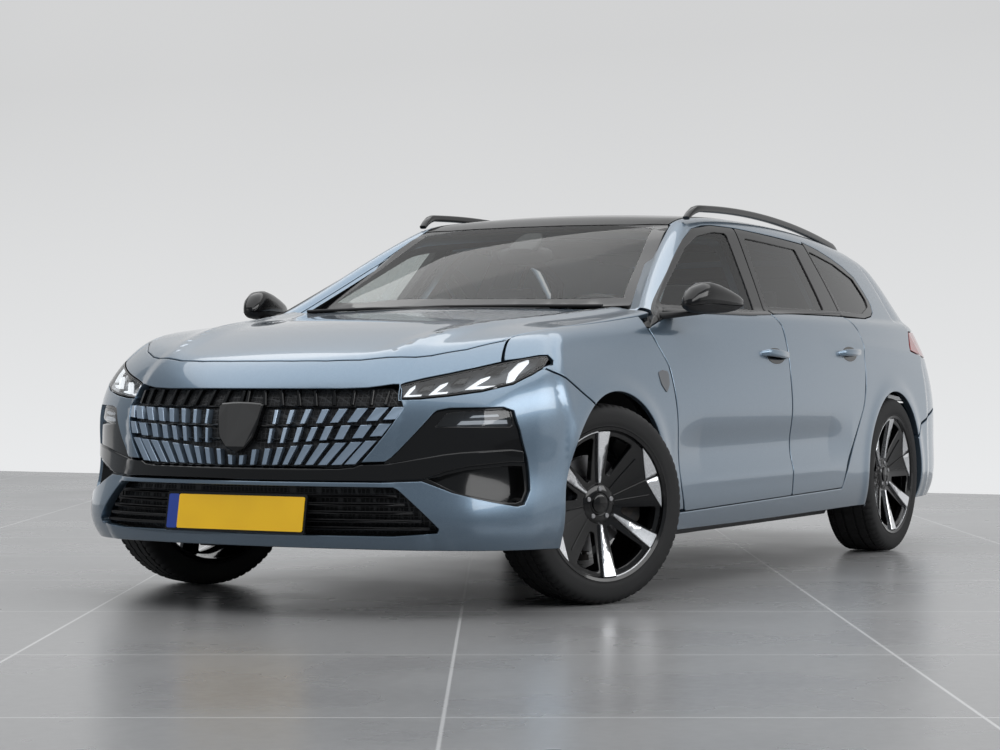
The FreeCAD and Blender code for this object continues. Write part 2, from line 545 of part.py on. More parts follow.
firewall = prism([(955 + SEAT_CLEAR, FLOOR_Z), (1000, FLOOR_Z), (1000, 900), (1078, 935), (1078, 975), (955, 975),
                  (955 + SEAT_CLEAR, 900)], "y", -800, 800)
firewall = firewall.common(inner).cut(wells[0]).cut(mirrored(wells[0]))
well = cylinder_y(FRONT_AXLE_X, TYRE_R, LINER_R, 470, 900)
liner = cylinder_y(FRONT_AXLE_X, TYRE_R, LINER_R + 12, 458, 860).cut(well).common(form(DOOR_T + 10))
liner = liner.cut(box(900, 2000, 400, 900, 0, 250)).common(box(1114, 1886, 0, 900, 250, 900))
rail = box(990, 2230, 395, 470, 420, 520)
RADIATOR_X = 2140.0
front_panel = box(RADIATOR_X, RADIATOR_X + 60, -465, 465, 300, 640)
firewall = firewall.cut(box(900, 1200, 762, 1100, 780, 1008)).cut(box(900, 1200, -1100, -762, 780, 1008))
tower = Part.makeCylinder(62, 60, V(FRONT_AXLE_X, STRUT_Y, STRUT_TOP), V(0, 0, 1))
cowl = shell(0, BONNET_T).common(box(945, 1100, -760, 760, 900, 1100)).cut(
    [bonnet_pocket, windscreen_room, LEFT["side_frame"], mirrored(LEFT["side_frame"])])
socket = Part.makeCylinder(52, 400, V(FRONT_AXLE_X, STRUT_Y, STRUT_TOP - 400), V(0, 0, 1))
liner = liner.fuse(tower).cut(socket)
structure = fused([biggest(firewall), biggest(cowl), liner, mirrored(liner), rail, mirrored(rail), front_panel])
structure = biggest(structure.cut([LEFT["side_frame"], mirrored(LEFT["side_frame"]), LEFT["fender"],
                                   mirrored(LEFT["fender"])]))
save("bulkhead", biggest(structure))
MOUNT_Y = 395 - SEAT_CLEAR
save("engine_block", fused([box(1270, 1800, -330, 330, 330, 830), box(1330, 1700, -MOUNT_Y, MOUNT_Y, 360, 640)]))
subframe = fused([box(1290, 1560, -360, 360, 215, 275), box(1560, 1640, -395, 395, 215, 300)])
ARM_Z = 142.0
ARM_TOP = 160.0
arm = prism([(1300, 350), (1560, 350), (1484, 790, 12), (1448, 790, 12)], "z", 100, 300).common(
    prism([(340, 218), (340, 258), (600, 212), (730, ARM_TOP), (798, ARM_TOP), (798, ARM_Z), (720, ARM_Z)], "x",
          1200, 1700))
stud = Part.makeCylinder(8, KNUCKLE_BOTTOM - SEAT_CLEAR - ARM_Z, V(FRONT_AXLE_X, KINGPIN_Y, ARM_Z), V(0, 0, 1))
strut = fused([Part.makeCylinder(45, STRUT_TOP - SEAT_CLEAR - 430, V(FRONT_AXLE_X, STRUT_Y, 430), V(0, 0, 1)),
               Part.makeCylinder(22, 240, V(FRONT_AXLE_X, STRUT_Y, 205), V(0, 0, 1))])
half = fused([arm, stud, strut])
save("front_suspension", fused([subframe, half, mirrored(half)]))
beam = fused([box(-1390, -1270, -640, 640, 225, 285)])
rear_upright = box(-1395, -1260, 640, WHEEL_Y - 35, 215, 430)
spindle = Part.makeCylinder(24, 62, V(REAR_AXLE_X, WHEEL_Y - 55, TYRE_R), V(0, 1, 0))
trailing = box(-1270, -888, 600, 650, 240, 290)
caliper = upright.common(box(-220, -90, -80, 60, -100, 100))
caliper.translate(V(REAR_AXLE_X, WHEEL_Y, TYRE_R))
bridge = box(REAR_AXLE_X - 150, REAR_AXLE_X, WHEEL_Y - 75, WHEEL_Y - 50, TYRE_R - 40, TYRE_R + 40)
half = fused([rear_upright, spindle, trailing, bridge, biggest(caliper)])
save("rear_axle", fused([beam, half, mirrored(half)]))
TANK_TOP = FLOOR_Z - SEAT_CLEAR
save("fuel_tank", prism([(-780, TANK_TOP), (-760, 140, 40), (-420, 140, 40), (-400, TANK_TOP)], "y", -420, 420))
silencer = prism([(-1700, -420, 60), (-1980, -420, 60), (-1980, 420, 60), (-1700, 420, 60)], "z", 240,
                 REAR_FLOOR_Z - SEAT_CLEAR)
save("silencer", silencer)

# ---- interior ------------------------------------------------------------------------------------
FLOOR_TOP = FLOOR_Z + FLOOR_T + SEAT_CLEAR
CUSHION = [(420, FLOOR_TOP), (420, 480, 60), (-60, 440, 60), (-120, FLOOR_TOP)]
BACK = [(-10, 400, 60), (-180, 960, 50), (-270, 960, 40), (-160, FLOOR_TOP, 30), (-60, FLOOR_TOP)]
HEADREST = [(-185, 985, 30), (-200, 1150, 40), (-290, 1150, 40), (-275, 985, 30)]


def seat(x_shift, y0, y1, heads):
    rests = [prism([(x + x_shift, *rest) for x, *rest in HEADREST], "y", y - 110, y + 110) for y in heads]
    posts = [box(x_shift - 245, x_shift - 225, y - 8, y + 8, 930, 1000) for y in heads]
    cushion = prism([(x + x_shift, *rest) for x, *rest in CUSHION], "y", y0, y1)
    back = prism([(x + x_shift, *rest) for x, *rest in BACK], "y", y0, y1)
    return fused([cushion, back] + rests + posts)


driver = seat(60, 120, 620, [370])
save("front_seats", Part.makeCompound([driver, mirrored(driver)]))
bench = seat(-760, -572, 572, [-380, 0, 380]).cut(box(-2000, -700, -700, 700, 0, REAR_FLOOR_Z + 40 + SEAT_CLEAR)
                                                   ).cut(box(-1200, -300, -700, 700, 0, FLOOR_TOP))
bench = bench.cut(prism([(-820, 0), (-820, FLOOR_Z + FLOOR_T + 1), (-970, REAR_FLOOR_Z + 41), (-1400, REAR_FLOOR_Z + 41),
                         (-1400, 0)], "y", -700, 700))
save("rear_seat", biggest(bench))
dash = prism([(955, 620), (955, 930), (760, 965, 60), (600, 900, 60), (640, 700, 60)], "y", -690, 690).common(inner)
console = box(60, 700, -90, 90, FLOOR_TOP, 560)
STEERING_AT = V(462, 370, 905)
STEERING_TILT = -65.0
rim_section = Part.makePolygon([V(160, 0, 0), V(175, 0, 14), V(190, 0, 0), V(175, 0, -14), V(160, 0, 0)])
wheel = Part.Face(rim_section).revolve(V(0, 0, 0), V(0, 0, 1), 360)
spokes = fused([box(-170, 170, -22, 22, -10, 8), box(-22, 22, -170, 0, -10, 8), Part.makeCylinder(55, 40, V(0, 0, -25)),
                Part.makeCylinder(22, 260, V(0, 0, -260))])
wheel = fused([wheel, spokes])
wheel.rotate(V(0, 0, 0), V(0, 1, 0), STEERING_TILT)
wheel.translate(STEERING_AT)
save("dashboard", fused([biggest(dash), console, wheel]))

# ---- mirrors and roof rails ----------------------------------------------------------------------
MIRROR_BODY = [(975, 985, 30), (960, 1050, 40), (905, 1100, 60), (640, 1052, 20), (640, 1000, 20), (760, 982, 40)]
shell_body = prism(MIRROR_BODY, "y", 900, 1040)
shell_body = shell_body.common(Part.makeCylinder(330, 300, V(820, 760, 900), V(0, 0, 1)))
stalk = box(850, 960, 800, 920, 972, 1000)
mirror = fused([shell_body, stalk]).cut(LEFT["door_front"])
save("mirror_left", biggest(mirror))
save("mirror_right", mirrored(biggest(mirror)))
RAIL_SIDE = [(190, 1372), (105, 1424, 40), (-230, 1436, 400), (-1040, 1392, 400), (-1400, 1340, 60), (-1470, 1305),
             (-1405, 1308), (-1330, 1330, 60), (-1040, 1366, 400), (-230, 1412, 400), (80, 1400, 60), (130, 1365)]
rail_bar = biggest(prism(RAIL_SIDE, "y", 588, 622).cut(form(0)))
save("roof_rails", Part.makeCompound([rail_bar, mirrored(rail_bar)]))
grille_face = outline_prism(mirrored_outline(GRILLE_FRONT, 0), "x", 2100, 2450, -SEAT_CLEAR).cut(
    [headlamp_hole, mirrored(headlamp_hole)])
grille_plate = biggest(shell(GRILLE_IN, GRILLE_IN + 25).common(grille_face))


def nose_point(y, z, inset):
    """Point of the front wall at a place seen from the front, between the two table rows around its height."""
    rows = [(row[0], row[1] - (row[1] - row[2]) * (y / row[3]) ** 2) for row in LOWER]
    for (z0, x0), (z1, x1) in zip(rows, rows[1:]):
        if z0 <= z <= z1:
            return V(x0 + (x1 - x0) * (z - z0) / (z1 - z0) - inset, y, z)


def grille_bar(corners, inset, depth):
    """Straight-sided bar behind four corners seen from the front, its face flush with the nose less an inset."""
    a, b, c = [nose_point(y, z, inset) for y, z in corners[:3]]
    normal = (b - a).cross(c - a)
    points = [V(a.x - ((y - a.y) * normal.y + (z - a.z) * normal.z) / normal.x, y, z) for y, z in corners]
    return Part.Face(Part.makePolygon(points + points[:1])).extrude(V(-depth, 0, 0))


def edge_at(z):
    """Half width of the grille's outline at a height."""
    for (y0, z0), (y1, z1) in ((GRILLE_FRONT[1][:2], GRILLE_FRONT[2][:2]), (GRILLE_FRONT[2][:2], GRILLE_FRONT[3][:2])):
        if z0 <= z <= z1:
            return y0 + (y1 - y0) * (z - z0) / (z1 - z0)
    return 0.0


bars = []
for low, high, first, pitch, half, share in GRILLE_ROWS:
    for column in range(GRILLE_COLUMNS):
        near = first + pitch * column
        lean = GRILLE_LEAN * (high - low) * (column + 1) / GRILLE_COLUMNS
        width = half * (1 + share * column / GRILLE_COLUMNS)
        if near + width > edge_at(low) - 8 or near + width + lean > edge_at(high) - 8:
            continue
        bars.append(grille_bar([(near - width, low), (near + width, low), (near + width + lean, high),
                                (near - width + lean, high)], GRILLE_PROUD, GRILLE_IN))
bars += [mirrored(bar) for bar in bars]
shield = [nose_point(y, z, GRILLE_PROUD) for y, z in mirrored_outline(SHIELD, 0)]
front = max(point.x for point in shield)
bars.append(prism(mirrored_outline(SHIELD, 0), "x", front - 34, front))
save("grille", biggest(fused([grille_plate] + bars)))
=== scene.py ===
# %% [markdown]
# # A station wagon, dressed
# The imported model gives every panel, wheel and seat its place. This lesson keeps those places and makes the
# looks: smooth painted skins with real shut lines, glass, lamps, the grille, machined rims, treaded tyres, a
# trimmed cabin. Everything is in metres: +X forward, +Y to the car's left, +Z up.

# %% Start: load the frame
import math

import bmesh
import bpy
import numpy as np
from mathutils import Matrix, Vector
from mathutils.geometry import delaunay_2d_cdt


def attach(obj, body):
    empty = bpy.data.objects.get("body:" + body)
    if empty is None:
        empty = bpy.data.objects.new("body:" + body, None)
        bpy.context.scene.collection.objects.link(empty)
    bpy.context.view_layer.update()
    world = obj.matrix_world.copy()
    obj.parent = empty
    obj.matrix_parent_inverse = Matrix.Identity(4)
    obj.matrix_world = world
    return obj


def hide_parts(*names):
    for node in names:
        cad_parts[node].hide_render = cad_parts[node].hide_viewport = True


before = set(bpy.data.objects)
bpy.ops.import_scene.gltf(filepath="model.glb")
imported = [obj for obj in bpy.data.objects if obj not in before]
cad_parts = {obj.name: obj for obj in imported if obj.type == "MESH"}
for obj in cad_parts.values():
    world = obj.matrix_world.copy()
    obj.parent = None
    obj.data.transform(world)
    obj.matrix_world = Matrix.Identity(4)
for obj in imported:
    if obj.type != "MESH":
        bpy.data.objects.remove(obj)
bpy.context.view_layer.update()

# %% [markdown]
# ## The car's outer form as one function
# A car body is a few broad, nearly flat surfaces that roll into each other: nose, flanks, tail, bonnet, roof.
# It could be one big subdivision mesh, pushed about by hand, but then panels would not line up with the
# frame. Here each broad surface is a formula, and a soft maximum rolls them together. The sign of
# `body(x, y, z)` says outside or inside, so any panel's point is found by walking along a line until it changes.

# %% Tables of the form, in metres
# plan outlines of the lower body: height, nose x, front corner x and y, flank start x and y, widest y,
# flank end x and y, rear corner x and y, tail x
LOWER_ROWS = np.array([
    [0.150, 2.300, 2.170, 0.600, 1.850, 0.842, 0.868, -1.850, 0.845, -2.190, 0.600, -2.260],
    [0.260, 2.372, 2.250, 0.638, 1.850, 0.903, 0.914, -1.850, 0.893, -2.270, 0.640, -2.352],
    [0.450, 2.3965, 2.292, 0.532, 1.855, 0.910, 0.927, -1.850, 0.903, -2.300, 0.650, -2.388],
    [0.620, 2.376, 2.262, 0.543, 1.855, 0.910, 0.9295, -1.850, 0.900, -2.300, 0.650, -2.3965],
    [0.780, 2.302, 2.172, 0.522, 1.850, 0.868, 0.922, -1.850, 0.880, -2.255, 0.645, -2.345],
    [0.900, 2.222, 2.052, 0.522, 1.750, 0.806, 0.902, -1.850, 0.843, -2.200, 0.640, -2.300],
    [1.015, 2.122, 1.932, 0.502, 1.650, 0.745, 0.866, -1.800, 0.800, -2.110, 0.625, -2.205],
])
# the greenhouse: height, windscreen x, its corner x and y, front pillar x and y, widest y,
# rear pillar x and y, rear glass corner x and y, rear glass x
UPPER_ROWS = np.array([
    [1.005, 1.002, 0.878, 0.687, 0.945, 0.793, 0.846, -1.685, 0.792, -2.096, 0.630, -2.206],
    [1.090, 0.858, 0.735, 0.655, 0.778, 0.742, 0.806, -1.640, 0.755, -2.010, 0.608, -2.135],
    [1.230, 0.600, 0.485, 0.598, 0.508, 0.666, 0.735, -1.560, 0.690, -1.850, 0.570, -2.010],
    [1.340, 0.372, 0.300, 0.556, 0.296, 0.606, 0.676, -1.450, 0.628, -1.690, 0.520, -1.900],
    [1.440, 0.150, 0.110, 0.510, 0.086, 0.545, 0.612, -1.350, 0.560, -1.520, 0.460, -1.790],
])
# bonnet and roof: x, height in the middle, height 0.9 m out to the side
BONNET_ROWS = np.array([[2.430, 0.690, 0.590], [2.330, 0.765, 0.672], [2.230, 0.818, 0.735], [2.080, 0.868, 0.795],
                        [1.850, 0.922, 0.868], [1.450, 0.972, 0.925], [1.000, 1.018, 0.983]])[::-1]
ROOF_ROWS = np.array([[0.900, 1.180, 1.110], [0.400, 1.350, 1.290], [0.200, 1.394, 1.340], [-0.150, 1.417, 1.362],
                      [-0.700, 1.408, 1.352], [-1.250, 1.372, 1.312], [-1.800, 1.305, 1.240],
                      [-2.250, 1.230, 1.160]])[::-1]


# %% Smooth curves through the table rows
def smooth_table(rows, step=0.002):
    """Natural cubic spline through each column, tabulated finely so that it can be looked up fast."""
    at, values = rows[:, 0], rows[:, 1:]
    n = len(at)
    gap = np.diff(at)
    system, right = np.eye(n), np.zeros_like(values)
    for i in range(1, n - 1):
        system[i, i - 1:i + 2] = gap[i - 1], 2 * (gap[i - 1] + gap[i]), gap[i]
        right[i] = 6 * ((values[i + 1] - values[i]) / gap[i] - (values[i] - values[i - 1]) / gap[i - 1])
    curve = np.linalg.solve(system, right)
    fine = np.arange(at[0], at[-1] + step / 2, step)
    k = np.clip(np.searchsorted(at, fine, side="right") - 1, 0, n - 2)
    h, a, b = gap[k][:, None], (at[k + 1] - fine)[:, None], (fine - at[k])[:, None]
    out = (curve[k] * a ** 3 + curve[k + 1] * b ** 3) / (6 * h) \
        + (values[k] / h - curve[k] * h / 6) * a + (values[k + 1] / h - curve[k + 1] * h / 6) * b
    return fine, out


def look_up(table, where):
    """All columns of a table at the given places."""
    fine, out = table
    where = np.clip(where, fine[0], fine[-1])
    place = (where - fine[0]) / (fine[1] - fine[0])
    k = np.clip(place.astype(int), 0, len(fine) - 2)
    share = (place - k)[..., None]
    return np.moveaxis(out[k] * (1 - share) + out[k + 1] * share, -1, 0)


lower_table, upper_table = smooth_table(LOWER_ROWS), smooth_table(UPPER_ROWS)
bonnet_table, roof_table = smooth_table(BONNET_ROWS), smooth_table(ROOF_ROWS)


def soft_max(a, b, reach):
    """Larger of two distances, rolled over within a reach so that the edge between them is rounded."""
    near = np.maximum(reach - np.abs(a - b), 0) / reach
    return np.maximum(a, b) + near * near * reach / 4


def soft_min(a, b, reach):
    """Smaller of two distances, rolled over likewise."""
    return -soft_max(-a, -b, reach)


def flank_wall(table, x, y, z):
    """Signed distance to the long side walls of a table alone."""
    _, _, _, xs, ys, ym, xe, ye, _, _, _ = look_up(table, z)
    half = (xs - xe) / 2
    t = (x - (xs + xe) / 2) / half
    bend = ym - (ys + ye) / 2
    return (np.abs(y) - (ym + (ys - ye) / 2 * t - bend * t * t)) / np.sqrt(1 + (2 * bend * t / half) ** 2)


BULGE, LET_GO = 0.10, 0.6      # of a corner's face: its bulge by its length, and its slope beyond its ends


def round_wall(table, x, y, z, edge):
    """Signed distance, about, to the wall whose plan outlines are in a table: below 0 is inside."""
    xf, xc, yc, xs, ys, ym, xe, ye, xk, yk, xr = look_up(table, z)
    side = np.abs(y)
    # the front bows back to its corner, and beyond it runs straight to the flank where that reaches further
    bow, beyond = xf - (xf - xc) * (side / yc) ** 2, xc + (xs - xc) * (side - yc) / (ys - yc)
    front = np.where(side > yc, np.maximum(bow, beyond), bow)
    nose = (x - front) / np.sqrt(1 + (2 * (xf - xc) * np.minimum(side, yc) / yc ** 2) ** 2)
    tail = ((xr + (xk - xr) * (side / yk) ** 2) - x) / np.sqrt(1 + (2 * (xk - xr) * side / yk ** 2) ** 2)
    flank = flank_wall(table, x, y, z)

    def corner(xa, ya, xb, yb):
        """Slightly bulged wall between two points of the plan, which lets go beyond its own ends."""
        dx, dy = xb - xa, yb - ya
        length = np.sqrt(dx * dx + dy * dy)
        along = ((x - (xa + xb) / 2) * dx + (side - (ya + yb) / 2) * dy) / length
        out = ((x - xa) * dy - (side - ya) * dx) / length
        past = np.maximum(np.abs(along) - length / 2, 0)
        return out - BULGE * length * np.maximum(1 - (2 * along / length) ** 2, -0.3) - LET_GO * past

    # beside the windscreen the pillar's own face is the straight run above, so no corner is cut off there
    front_corner = np.where(xs > xc, -1.0, corner(xc, yc, xs, ys))
    rear_corner = corner(xe, ye, xk, yk)
    wall = soft_max(flank, nose, edge)
    wall = soft_max(wall, front_corner, edge)
    wall = soft_max(wall, tail, edge)
    return soft_max(wall, rear_corner, edge)


def crown(table, x, y):
    """Height of the bonnet or the roof, which fall off to the sides."""
    middle, side = look_up(table, x)
    return middle - (middle - side) * (y / 0.9) ** 2


# %% The whole skin: inside is negative
SHOULDER = 0.050        # how far flank and bonnet roll into each other
CANT = 0.060            # the same between side glass and roof
WAIST = 0.010           # the same between lower body and greenhouse
LOWER_EDGE = 0.055      # the same between the walls of the lower body
UPPER_EDGE = 0.035      # the same between the walls of the greenhouse
FOLDS_FROM_Y = 0.6      # the flanks' folds lie farther out than this
COWL_X, DECK_Z = 1.0, 1.015     # where the bonnet ends, and the lower body's height behind it
GLASS_FOOT_Z = 0.93     # the greenhouse doesn't reach below this


FRONT_ARCH, REAR_ARCH = ((1.481, 0.335), 0.374), ((-1.314, 0.332), 0.362)      # middle x and z, radius
AXLE_Z = 0.335


def ramp(value, length):
    """0 below 0, and from there evenly up to 1 over a length."""
    return np.clip(value / length, 0, 1)


def fold(z, line, share, out, width):
    """A rounded ridge along a line, or a hollow where out is negative; share lets it fade in and out."""
    return out * share * np.exp(-((z - line) / width) ** 2)


def arch_swell(x, z):
    """The wheel arches stand a few millimetres proud of the flanks around both wheels."""
    swell = 0
    for (centre, _), radius in (FRONT_ARCH, REAR_ARCH):
        r = np.hypot(x - centre, z - AXLE_Z)
        swell = swell + 0.007 * np.exp(-((r - radius - 0.012) / 0.040) ** 2) * (z > 0.15)
    return swell


def flank_relief(x, z):
    """What the press tool adds to the flank: haunch over the rear wheel, front wing fold, scooped sill, its edge."""
    rear = ramp(-0.45 - x, 0.5) * ramp(x + 2.1, 0.3)
    front = ramp(x - 0.55, 0.5)
    door = ramp(1.05 - x, 0.25) * ramp(x + 0.75, 0.25)
    return (fold(z, 0.905 - 0.045 * ramp(-0.55 - x, 1.2), rear, 0.007, 0.035)
            + fold(z, 0.895 + 0.02 * ramp(1.9 - x, 0.8), front, 0.006, 0.030)
            + fold(z, 0.50, door, -0.016, 0.085) + fold(z, 0.395, door, 0.004, 0.030)) + arch_swell(x, z)


def bonnet_relief(x, y):
    """Two raised folds from the nose's corners to the pillars, with the bonnet's middle a little lower."""
    line = 0.40 + 0.27 * ramp(2.25 - x, 1.2)
    return ramp(2.24 - x, 0.25) * (fold(np.abs(y), line, 1.0, 0.010, 0.055) + 0.003 * (np.abs(y) > line))


def lower_body(x, y, z):
    """Signed distance to all that lies below the waist: walls with their folds, and the bonnet."""
    low = round_wall(lower_table, x, y, z, LOWER_EDGE) - flank_relief(x, z) * (np.abs(y) > FOLDS_FROM_Y)
    bonnet = crown(bonnet_table, np.maximum(x, COWL_X), y) + bonnet_relief(x, y)
    return soft_max(low, z - np.where(x < COWL_X, DECK_Z, bonnet), SHOULDER)


def body(x, y, z):
    """Signed distance, about, to the car's painted and glazed outer form."""
    high = soft_max(round_wall(upper_table, x, y, z, UPPER_EDGE), z - crown(roof_table, x, y), CANT)
    return soft_min(lower_body(x, y, z), np.where(z < GLASS_FOOT_Z, 1.0, high), WAIST)


def beside(x, y, z):
    """The same form as the doors know it: the windscreen doesn't cut their window frames."""
    high = soft_max(flank_wall(upper_table, x, y, z), z - crown(roof_table, np.minimum(x, 0.1), y), CANT)
    return soft_min(lower_body(x, y, z), np.where((z < GLASS_FOOT_Z) | (x > 0.99), 1.0, high), WAIST)


HALVINGS = 26


def march(origin, way, near=0.0, far=1.6, depth=0.0, form=body):
    """Walks from points inside along directions to the skin, by halving, for whole arrays at once."""
    low, high = np.full(len(origin), near), np.full(len(origin), far)
    for _ in range(HALVINGS):
        middle = (low + high) / 2
        spot = origin + way * middle[:, None]
        inside = form(spot[:, 0], spot[:, 1], spot[:, 2]) < -depth
        low, high = np.where(inside, middle, low), np.where(inside, high, middle)
    return origin + way * low[:, None]


def outward(points, step=0.004, form=body):
    """The skin's normals by central differences."""
    slopes = []
    for axis in range(3):
        shift = np.zeros(3)
        shift[axis] = step
        ahead, behind = points + shift, points - shift
        slopes.append(form(*ahead.T) - form(*behind.T))
    n = np.stack(slopes, axis=1)
    return n / np.maximum(np.linalg.norm(n, axis=1, keepdims=True), 1e-9)


probe = march(np.array([[0.0, 0.0, 0.6], [1.9, 0.0, 0.5], [0.0, 0.0, 0.9]]),
              np.array([[0.0, 1.0, 0.0], [1.0, 0.0, 0.0], [0.0, 0.0, 1.0]]))
print("flank y, nose x, roof z:", probe[0, 1].round(3), probe[1, 0].round(3), probe[2, 2].round(3))

# %% [markdown]
# ## How a panel is cut from the skin
# Each pressed panel is drawn as an outline in the view that shows it flattest. The outline's inside is filled
# with a fine net of triangles, the net is thrown onto the skin along lines from a carrier, and the rim is
# turned in like a real hem. Normals come from the skin's formula, not from the triangles, so reflections flow
# across the panel.


# %% Carriers: the lines along which a flat drawing is thrown onto the skin
class Carrier:
    """A family of lines: two numbers name a line, and place() gives its start and direction."""

    def __init__(self, place, locate, form=body):
        self.place, self.locate, self.form = place, locate, form

    def onto(self, uv, depth=0.0):
        """The points of the skin, or depth below it, that the lines meet."""
        origin, way = self.place(uv)
        return march(origin, way, depth=depth, form=self.form)


def rows(*columns):
    """Points or directions, one a row, from their three columns."""
    return np.stack(np.broadcast_arrays(*columns), axis=1).astype(float)


def straight(axis, start, sense=1.0, form=body):
    """Lines that all run along one axis, 0 for x to 2 for z, from a plane at start."""
    others = [a for a in range(3) if a != axis]

    def place(uv):
        origin, way = np.full((len(uv), 3), start, float), np.zeros((len(uv), 3))
        origin[:, others], way[:, axis] = uv, sense
        return origin, way
    return Carrier(place, lambda p: p[:, others], form)


def around_side(axis_y, axis_z, radius):
    """Lines that fan out from an axis along the car, for panels that roll from the flank to the top."""
    def place(uv):
        turn = uv[:, 1] / radius
        return rows(uv[:, 0], axis_y, axis_z), rows(0 * turn, np.cos(turn), np.sin(turn))

    def locate(p):
        return rows(p[:, 0], np.arctan2(p[:, 2] - axis_z, p[:, 1] - axis_y) * radius)
    return Carrier(place, locate)


def around_corner(axis_x, axis_y, facing, radius):
    """Lines that fan out from an upright axis, for what rolls from an end of the car round to its flanks."""
    def place(uv):
        turn = uv[:, 0] / radius
        return rows(axis_x, axis_y, uv[:, 1]), rows(facing * np.cos(turn), np.sin(turn), 0.0)

    def locate(p):
        return rows(np.arctan2(p[:, 1] - axis_y, facing * (p[:, 0] - axis_x)) * radius, p[:, 2])
    return Carrier(place, locate)


def over_tail(axis_x, axis_z, radius):
    """Lines that fan out from an axis across the car, for the tailgate, which rolls from the tail to the roof."""
    def place(uv):
        turn = uv[:, 1] / radius
        return rows(axis_x, uv[:, 0], axis_z), rows(-np.cos(turn), 0.0 * turn, np.sin(turn))

    def locate(p):
        return rows(p[:, 1], np.arctan2(p[:, 2] - axis_z, axis_x - p[:, 0]) * radius)
    return Carrier(place, locate)


from_side, from_top, from_over = straight(1, 0.0, form=beside), straight(2, 0.5), straight(2, 0.85)
from_front, from_rear, from_cabin_front = straight(0, 0.6), straight(0, -0.9, -1.0), straight(0, 0.0)
around_wing, around_cabin = around_side(0.45, 0.60, 0.50), around_side(0.20, 0.75, 0.60)
around_nose, around_back = around_corner(1.40, 0.0, 1, 0.90), around_corner(-1.40, 0.0, -1, 0.90)
around_rear_corner = around_corner(-1.70, 0.30, -1, 0.60)
over_back = over_tail(-1.50, 0.90, 0.70)


# %% Outlines: corners rounded, then sampled evenly
def rounded(points, spacing=0.012):
    """Closed outline through (a, b) or (a, b, radius) corners as an even run of points."""
    corners = [(np.array(p[:2], float), p[2] if len(p) > 2 else 0.0) for p in points]
    path = []
    for i, (here, radius) in enumerate(corners):
        back, ahead = corners[i - 1][0] - here, corners[(i + 1) % len(corners)][0] - here
        lb, la = np.linalg.norm(back), np.linalg.norm(ahead)
        back, ahead = back / lb, ahead / la
        turn = math.acos(np.clip(back @ ahead, -1, 1))
        if radius <= 0 or turn > math.pi - 0.01:
            path.append(here)
            continue
        reach = min(radius / math.tan(turn / 2), 0.47 * lb, 0.47 * la)
        radius = reach * math.tan(turn / 2)
        bisector = (back + ahead) / np.linalg.norm(back + ahead)
        centre = here + bisector * radius / math.sin(turn / 2)
        first, last = here + back * reach - centre, here + ahead * reach - centre
        a0 = math.atan2(first[1], first[0])
        sweep = (math.atan2(last[1], last[0]) - a0 + math.pi) % (2 * math.pi) - math.pi
        count = max(2, int(abs(sweep) * radius / spacing) + 2)
        path += [centre + radius * np.array([math.cos(a0 + sweep * k / count), math.sin(a0 + sweep * k / count)])
                 for k in range(count + 1)]
    return evenly(np.array(path), spacing)


def both_halves(half):
    """An outline from above, drawn from nose to tail on the left, made whole with its mirror image."""
    return half + [(x, -y) for x, y in half[-2:0:-1]]


def mirror_run(points):
    """Half an outline across the car, made whole: the given half first, then its mirror image backwards."""
    return points + [(-p[0], *p[1:]) for p in reversed(points) if abs(p[0]) > 1e-6]


def without_doubles(loop):
    """Drops points that lie on top of the one before."""
    return loop[np.linalg.norm(loop - np.roll(loop, 1, axis=0), axis=1) > 0.002]


def evenly(path, spacing, closed=True):
    """Adds points so that no run is longer than the spacing, and keeps every corner."""
    ends = np.roll(path, -1, axis=0) if closed else path[1:]
    out = []
    for a, b in zip(path, ends):
        length = np.linalg.norm(b - a)
        if length < 1e-5:
            continue
        n = max(1, int(round(length / spacing)))
        out += [a + (b - a) * k / n for k in range(n)]
    if not closed:
        out.append(path[-1])
    return np.array(out)


def area_of(path):
    """Area inside a closed outline, positive where it runs against the clock."""
    x, y = path[:, 0], path[:, 1]
    return 0.5 * float(np.sum(x * np.roll(y, -1) - np.roll(x, -1) * y))


def shrunk(path, amount):
    """Moves an outline inwards by an amount (outwards where negative)."""
    if area_of(path) < 0:
        path = path[::-1]
    ahead = np.roll(path, -1, axis=0) - path
    ahead /= np.maximum(np.linalg.norm(ahead, axis=1, keepdims=True), 1e-9)
    behind = np.roll(ahead, 1, axis=0)
    left = np.stack([-ahead[:, 1], ahead[:, 0]], axis=1) + np.stack([-behind[:, 1], behind[:, 0]], axis=1)
    square = np.sum(left * left, axis=1, keepdims=True)
    return path + left * (2 * amount / np.maximum(square, 1.0))


def within(points, path):
    """Which points lie inside a closed outline, by counting crossings."""
    inside = np.zeros(len(points), bool)
    x, y = points[:, 0], points[:, 1]
    for a, b in zip(path, np.roll(path, -1, axis=0)):
        crosses = (a[1] > y) != (b[1] > y)
        if not crosses.any():
            continue
        at = (b[0] - a[0]) * (y - a[1]) / ((b[1] - a[1]) or 1e-12) + a[0]
        inside ^= crosses & (x < at)
    return inside


# %% [markdown]
# ## Sockets that behave like numbers
# A material is arithmetic on values that flow through sockets. Wrapping a socket in a small class lets the
# arithmetic be written as arithmetic: `a * 0.5 + b` makes the Math nodes by itself.


